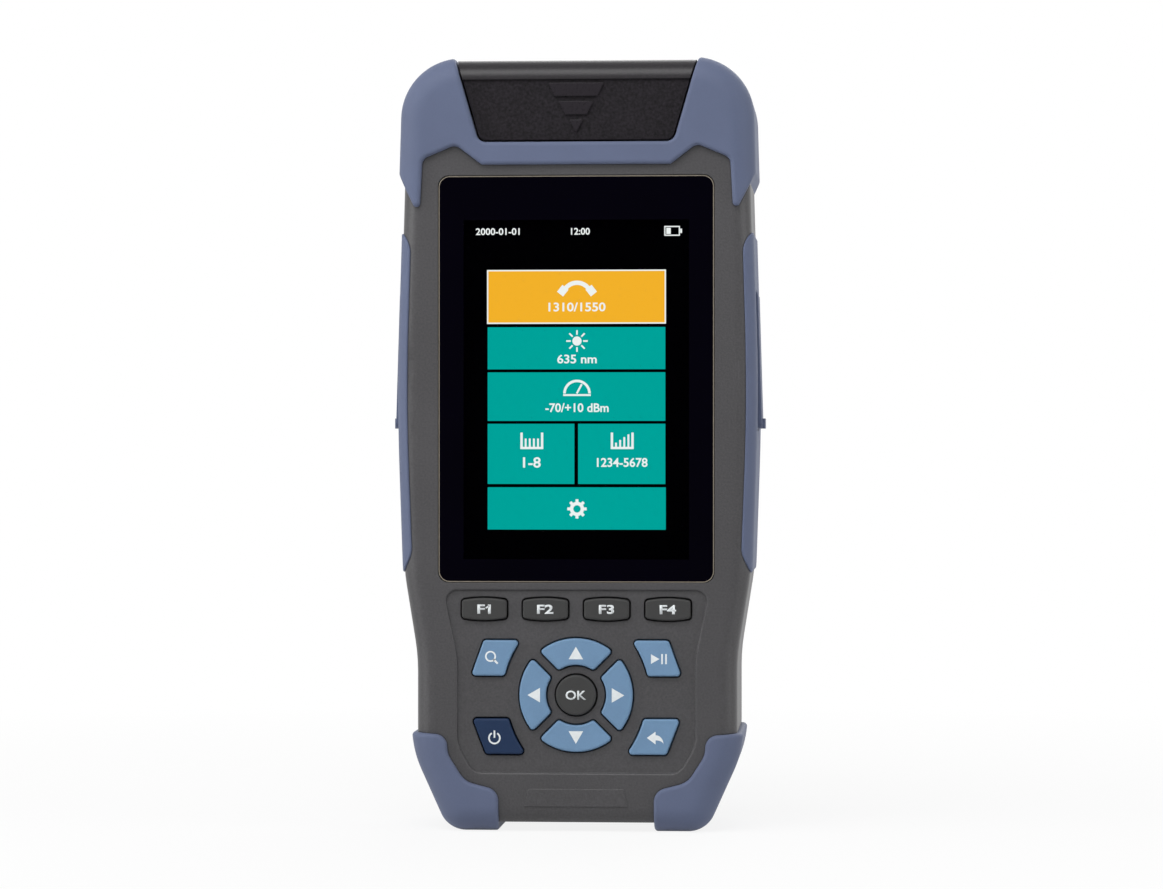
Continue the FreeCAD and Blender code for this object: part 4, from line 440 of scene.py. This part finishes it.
# Name, what it says, place across and up the front, height and stretch
MENU_NUMBERS = (
    ("clock_date", "2000-01-01", -17.3, 130.35, 1.5, 1.06),
    ("clock_time", "12:00", 0.75, 130.35, 1.5, 1.0),
    ("wavelength_pair", "1310/1550", 0, 113.9, 1.95, 1.15),
    ("wavelength_red", "635 nm", 0, 102.6, 1.95, 1.1),
    ("meter_range", "-70/+10 dBm", 0, 92.0, 1.95, 1.0),
    ("plug_pins", "1-8", -HALF_TILE_MIDDLE, 80.1, 2.3, 1.1),
    ("wire_order", "1234-5678", HALF_TILE_MIDDLE, 80.1, 2.0, 1.0),
)
for name, words, x, z, height, stretch in MENU_NUMBERS:
    numbers = lettering(words, x, z, height, weight=0.018, stretch=stretch)
    thicken(numbers, numbers.faces[:], SIGN_BACK, SIGN_FRONT)
    finished(f"menu_{name}", numbers, white_light, "case")

# Keys: thirteen silicone keys through the front shell, dark grey, light blue and navy, each with its
# legend printed in white on a crown that is smooth with use.
KEY_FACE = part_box("key_ok")[0][1]


def key_silicone(name, colour):
    silicone = Finish(name, Specular_IOR_Level=0.2)
    bloom = silicone.noise(160, detail=3)
    grain = silicone.noise(3600)
    silicone.shade(colour, bloom * 0.6 + grain * 0.4, 0.06)
    silicone.set(Roughness=0.42 + bloom * 0.14)
    silicone.texture(grain, 0.18, 0.00003, soft_edge=0.0002)
    return silicone


dress(key_silicone("key_dark_grey", srgb(60, 60, 60)), "key_f1", "key_f2", "key_f3", "key_f4", "key_ok")
dress(
    key_silicone("key_light_blue", srgb(111, 143, 175)), "key_up", "key_down", "key_left", "key_right",
    "key_search", "key_play_pause", "key_return",
)
dress(key_silicone("key_navy", srgb(27, 46, 76)), "key_power")

legend_ink = Finish("legend_ink", roughness=0.55)
ink_wear = legend_ink.noise(900, detail=3)
legend_ink.shade(srgb(226, 231, 233), ink_wear, 0.05)
PRINT_BACK, PRINT_FRONT = KEY_FACE + 0.005 * MM, KEY_FACE - 0.02 * MM


def print_legend(key, shape, faces):
    thicken(shape, faces, PRINT_BACK, PRINT_FRONT)
    finished(f"legend_{key}", shape, legend_ink, key)


SOFT_KEY_PITCH, SOFT_KEY_HEIGHT = 13.3, 48.3
for column in range(4):
    x = (column - 1.5) * SOFT_KEY_PITCH
    legend = lettering(f"F{column + 1}", x, SOFT_KEY_HEIGHT, 2.0, weight=0.03, stretch=1.45)
    if column == 0:
        # The flag of the figure 1, which this letter form leaves off
        stem = max(vert.co.x for vert in legend.verts) / MM
        draw_plate(legend, stem - 1.2, 48.62, stem - 0.25, 48.94, turn=-0.55)
    print_legend(f"key_f{column + 1}", legend, legend.faces[:])
PAD_MIDDLE, ARROW_REACH, ARROW_RADIUS = 29.7, 8.7, 1.82
legend = lettering("OK", 0, PAD_MIDDLE, 2.0, weight=0.02, stretch=1.1)
print_legend("key_ok", legend, legend.faces[:])
for quarter, key in enumerate(("key_up", "key_right", "key_down", "key_left")):
    turn = quarter * math.pi / 2
    legend = bmesh.new()
    x, z = ARROW_REACH * math.sin(turn), PAD_MIDDLE + ARROW_REACH * math.cos(turn)
    print_legend(key, legend, draw_disc(legend, x, z, ARROW_RADIUS, sides=3, turn=turn))

legend = bmesh.new()
glass_ring = draw_ring(legend, -18.55, 38.05, 0.85, 1.2)
glass_handle = draw_plate(legend, -18.1, 36.73, -16.8, 37.17, turn=math.radians(45))
print_legend("key_search", legend, glass_ring + glass_handle)

legend = bmesh.new()
play = draw_disc(legend, 16.9, 37.6, 1.22, sides=3, turn=math.radians(90))
pause = draw_plate(legend, 18.5, 36.5, 18.86, 38.7) + draw_plate(legend, 19.36, 36.5, 19.72, 38.7)
print_legend("key_play_pause", legend, play + pause)

legend = bmesh.new()
power_ring = draw_ring(legend, -17.7, 20.35, 1.0, 1.36, start=30, sweep=300, steps=30)
power_bar = draw_plate(legend, -17.88, 20.4, -17.52, 22.0)
print_legend("key_power", legend, power_ring + power_bar)

legend = bmesh.new()
NECK_X, TAIL_Z, TAIL_REACH = 17.28, 19.14, 1.72
outline = [(15.39, 20.53), (NECK_X, 21.92)]
for rise, angles in ((2.01, range(90, -1, -10)), (0.89, range(10, 91, 10))):
    for angle in map(math.radians, angles):
        outline.append((NECK_X + TAIL_REACH * math.cos(angle), TAIL_Z + rise * math.sin(angle)))
outline.append((NECK_X, TAIL_Z))
return_arrow = legend.faces.new([legend.verts.new((x * MM, 0, z * MM)) for x, z in outline])
print_legend("key_return", legend, [return_arrow])

# Board and keypad mat: behind the keys lie a moulded mat of pale silicone and steel dome switches, on a
# glass fibre board under green solder mask. The buzzer and the side sockets are moulded in black.
mat_silicone = Finish("mat_silicone", roughness=0.6)
mat_silicone.shade(srgb(188, 188, 184), mat_silicone.noise(300, detail=3), 0.05)
dress(mat_silicone, "keypad_mat")
solder_mask = Finish("solder_mask", roughness=0.35)
solder_mask.shade(srgb(28, 88, 56), solder_mask.noise(500, detail=4), 0.2)
dress(solder_mask, "main_board")
moulded_black = Finish("moulded_black")
black_flow = moulded_black.noise(700, detail=3)
moulded_black.shade(srgb(27, 27, 29), black_flow, 0.15)
moulded_black.set(Roughness=0.3 + black_flow * 0.15)
dress(moulded_black, "buzzer", "network_jack", "charging_socket_tongue")

# Optical ports under the dust cover: turned nickel-plated adapters on a black plate, with the talk set
# module, the photodiode and the laser below them.
nickel = Finish("nickel_plate", metallic=1.0)
lathe_lines = nickel.noise(500, detail=2, stretch=(0.05, 0.05, 6))
nickel.shade(srgb(196, 193, 186), lathe_lines, 0.06)
nickel.set(Roughness=0.2 + lathe_lines * 0.14)
nickel.texture(lathe_lines, 0.1, 0.00003)
dress(nickel, "talk_set_adapter", "power_meter_adapter", "fault_locator_adapter")
ceramic = Finish("sleeve_ceramic", roughness=0.22)
ceramic.shade(srgb(234, 233, 226), ceramic.noise(700, detail=3), 0.03)
MOUTH_TOP, PORT_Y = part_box("power_meter_adapter")[1][2], -3.5 * MM
SLEEVE_SECTION = ((1.3, -0.62), (1.3, -0.4), (1.66, -0.05), (1.74, -0.05))
for port, x in (("talk_set", -12.5), ("power_meter", 0), ("fault_locator", 12.5)):
    sleeve = bmesh.new()
    mouth = Vector((x * MM, PORT_Y, MOUTH_TOP))
    section = [sleeve.verts.new(mouth + Vector((radius, 0, z)) * MM) for radius, z in SLEEVE_SECTION]
    walls = [sleeve.edges.new(pair) for pair in zip(section, section[1:] + section[:1])]
    bmesh.ops.spin(
        sleeve, geom=section + walls, cent=mouth, axis=(0, 0, 1), angle=math.tau, steps=40, use_merge=True,
    )
    finished(f"{port}_sleeve", sleeve, ceramic, "case")

milled_aluminium = Finish("milled_aluminium", metallic=1.0)
mill_lines = milled_aluminium.noise(800, detail=2, stretch=(1, 1, 10))
milled_aluminium.shade(srgb(178, 180, 182), mill_lines, 0.06)
milled_aluminium.set(Roughness=0.3 + mill_lines * 0.15)
dress(milled_aluminium, "talk_set_module")
turned_brass = Finish("turned_brass", metallic=1.0)
brass_lines = turned_brass.noise(500, detail=2, stretch=(0.05, 0.05, 6))
turned_brass.shade(srgb(200, 165, 95), brass_lines, 0.08)
turned_brass.set(Roughness=0.25 + brass_lines * 0.15)
dress(turned_brass, "fault_locator_laser", "network_jack_contacts")

# Battery: two cells side by side in a blue sleeve, which is shrunk on with heat and creases along them.
# The pack lies loose in the rear shell, under its door.
shrink_sleeve = Finish("shrink_sleeve", roughness=0.3)
sleeve_creases = shrink_sleeve.noise(250, detail=3, stretch=(1, 1, 4))
shrink_sleeve.shade(srgb(62, 96, 140), sleeve_creases, 0.08)
shrink_sleeve.texture(sleeve_creases, 0.2, 0.0001)
dress(shrink_sleeve, "battery_pack")

# Screws: zinc-plated pan heads with a cross recess. Two hold the port plate and two the battery door, and
# four, deep in their wells, pull the rear shell on to the front one.
FACING_BACK = Matrix.Rotation(-math.pi / 2, 4, "X")
FACING_UP = Matrix.Identity(4)


def drive_screws(node, places, facing, head_radius, head_height, shank_radius, shank_length):
    """Screws for that node, each with the middle of its head's top at its place. Sizes are in mm."""
    screw = bmesh.new()
    arm, slot_half = 0.58 * head_radius, 0.15 * head_radius
    cross = []
    for quarter in range(4):
        turn = Matrix.Rotation(quarter * math.pi / 2, 3, "Z")
        for x, y in ((arm, -slot_half), (arm, slot_half), (slot_half, slot_half)):
            cross.append(screw.verts.new(turn @ Vector((x, y, 0))))
    mouth = [screw.edges.new(pair) for pair in zip(cross, cross[1:] + cross[:1])]
    crown = bmesh.ops.create_circle(screw, segments=24, radius=0.8 * head_radius)["verts"]
    rim = list({edge for vert in crown for edge in vert.link_edges})
    bmesh.ops.triangle_fill(screw, use_beauty=True, edges=mouth + rim)
    sunk = bmesh.ops.extrude_edge_only(screw, edges=mouth)["geom"]
    foot = [item for item in sunk if isinstance(item, bmesh.types.BMVert)]
    bmesh.ops.translate(screw, verts=foot, vec=(0, 0, -0.6 * head_height))
    bmesh.ops.scale(screw, verts=foot, vec=(0.75, 0.75, 1))
    bmesh.ops.edgeloop_fill(screw, edges=[item for item in sunk if isinstance(item, bmesh.types.BMEdge)])
    tip = -head_height - shank_length
    section = (
        (0.8 * head_radius, 0), (0.95 * head_radius, -0.12 * head_height),
        (head_radius, -0.4 * head_height), (head_radius, -head_height),
        (shank_radius, -head_height), (shank_radius, tip), (0, tip),
    )
    profile = [screw.verts.new((radius, 0, z)) for radius, z in section]
    sides = [screw.edges.new(pair) for pair in zip(profile, profile[1:])]
    bmesh.ops.spin(
        screw, geom=profile + sides, cent=(0, 0, 0), axis=(0, 0, 1), angle=math.tau, steps=24,
        use_merge=True,
    )
    pattern = bpy.data.meshes.new("screw_pattern")
    screw.to_mesh(pattern)
    screw.free()
    screws = bmesh.new()
    for count, place in enumerate(places):
        driven = pattern.copy()
        turn = Matrix.Rotation(0.3 + 0.6 * count, 4, "Z")
        driven.transform(Matrix.Translation(Vector(place) * MM) @ facing @ turn @ Matrix.Scale(MM, 4))
        screws.from_mesh(driven)
        bpy.data.meshes.remove(driven)
    bpy.data.meshes.remove(pattern)
    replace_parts(finished(f"{node}_cross_head", screws, steel, "case"), node)


PLATE_SCREWS = ((-15.5, -12, 152.205), (15.5, -12, 152.205))
DOOR_SCREWS = ((0, 20, 32.605), (0, 20, 107.405))
CASE_SCREWS = ((-14.5, 12.8, 8.2), (14.5, 12.8, 8.2), (-30.8, 12.8, 137.505), (30.8, 12.8, 137.505))
drive_screws("port_plate_screws", PLATE_SCREWS, FACING_UP, 1.7, 1.0, 0.9, 3.8)
drive_screws("battery_door_screws", DOOR_SCREWS, FACING_BACK, 2.2, 1.2, 1.2, 5.8)
drive_screws("case_screws", CASE_SCREWS, FACING_BACK, 2.3, 1.8, 1.3, 15.0)

# Studio: a white floor and backdrop under four broad soft lights, one of them behind for the back, with
# the camera in front.
floor_shape = bmesh.new()
bmesh.ops.create_grid(floor_shape, x_segments=1, y_segments=1, size=6)
floor_mesh = bpy.data.meshes.new("floor")
floor_shape.to_mesh(floor_mesh)
floor_shape.free()
floor = bpy.data.objects.new("floor", floor_mesh)
bpy.context.scene.collection.objects.link(floor)
floor_paint = Finish("floor_paint", roughness=0.9)
floor_paint.set(Base_Color=(0.82, 0.82, 0.82, 1))


def background_rays(shading):
    """1 for the rays that show the background: from the camera, off gloss and through glass."""
    kinds = ("Is Camera Ray", "Is Glossy Ray", "Is Transmission Ray")
    camera_ray, gloss_ray, glass_ray = (shading.node("ShaderNodeLightPath", output=kind) for kind in kinds)
    return camera_ray + gloss_ray + glass_ray


# The floor glows white where it is seen, a little less near the tester, so that its shadow shows.
glow = floor_paint.node("ShaderNodeEmission", {}, {"Color": (1, 1, 1, 1), "Strength": 1.0})
matt = Wire(floor_paint, floor_paint.shader.outputs[0])
reach = floor_paint.node(
    "ShaderNodeVectorMath", {"operation": "LENGTH"}, {0: floor_paint.place()}, output="Value"
)
shadow_zone = {"Value": reach, "From Min": 0.05, "From Max": 0.4, "To Min": 0.86}
share = background_rays(floor_paint) * floor_paint.node("ShaderNodeMapRange", {}, shadow_zone)
blend = floor_paint.node("ShaderNodeMixShader", {}, {0: share, 1: matt, 2: glow})
floor_paint.feed(floor_paint.nodes["Material Output"].inputs["Surface"], blend)
floor_mesh.materials.append(floor_paint.material)

scene = bpy.context.scene
world = bpy.data.worlds.new("studio")
scene.world = world
world.use_nodes = True
sky = Shading(world.node_tree)
FILL_LIGHT = 0.2
sky_strength = sky.node("ShaderNodeMapRange", {}, {"Value": background_rays(sky), "To Min": FILL_LIGHT})
background = sky.nodes["Background"]
sky.feed(background.inputs["Color"], (1, 1, 1, 1))
sky.feed(background.inputs["Strength"], sky_strength)


def soft_light(name, place, aim, size, watts):
    lamp = bpy.data.lights.new(name, "AREA")
    lamp.shape = "RECTANGLE"
    lamp.size, lamp.size_y = size
    lamp.energy = watts
    stand = bpy.data.objects.new(name, lamp)
    stand.location = place
    stand.rotation_euler = (Vector(aim) - Vector(place)).to_track_quat("-Z", "Y").to_euler()
    scene.collection.objects.link(stand)


TESTER_MIDDLE = Vector((0, 0, 0.084))
soft_light("overhead_softbox", (-0.1, -0.4, 0.6), TESTER_MIDDLE, (0.5, 0.3), 2.9)
soft_light("left_softbox", (-0.8, -0.3, 0.3), TESTER_MIDDLE, (0.4, 0.8), 3.6)
soft_light("right_softbox", (0.85, -0.25, 0.3), TESTER_MIDDLE, (0.4, 0.8), 2.2)
soft_light("rear_softbox", (0.25, 0.85, 0.65), TESTER_MIDDLE, (0.8, 0.8), 3.4)

CAMERA_TURN = math.radians(4)
CAMERA_DISTANCE = 0.871
camera_data = bpy.data.cameras.new("camera")
camera_data.sensor_width = 36
camera_data.lens = 121.6
camera = bpy.data.objects.new("camera", camera_data)
aim = TESTER_MIDDLE + Vector((-0.0002, 0, 0))
camera.location = aim + CAMERA_DISTANCE * Vector((math.sin(CAMERA_TURN), -math.cos(CAMERA_TURN), 0))
camera.rotation_euler = (math.pi / 2, 0, CAMERA_TURN)
scene.collection.objects.link(camera)
scene.camera = camera
scene.view_settings.view_transform = "Standard"
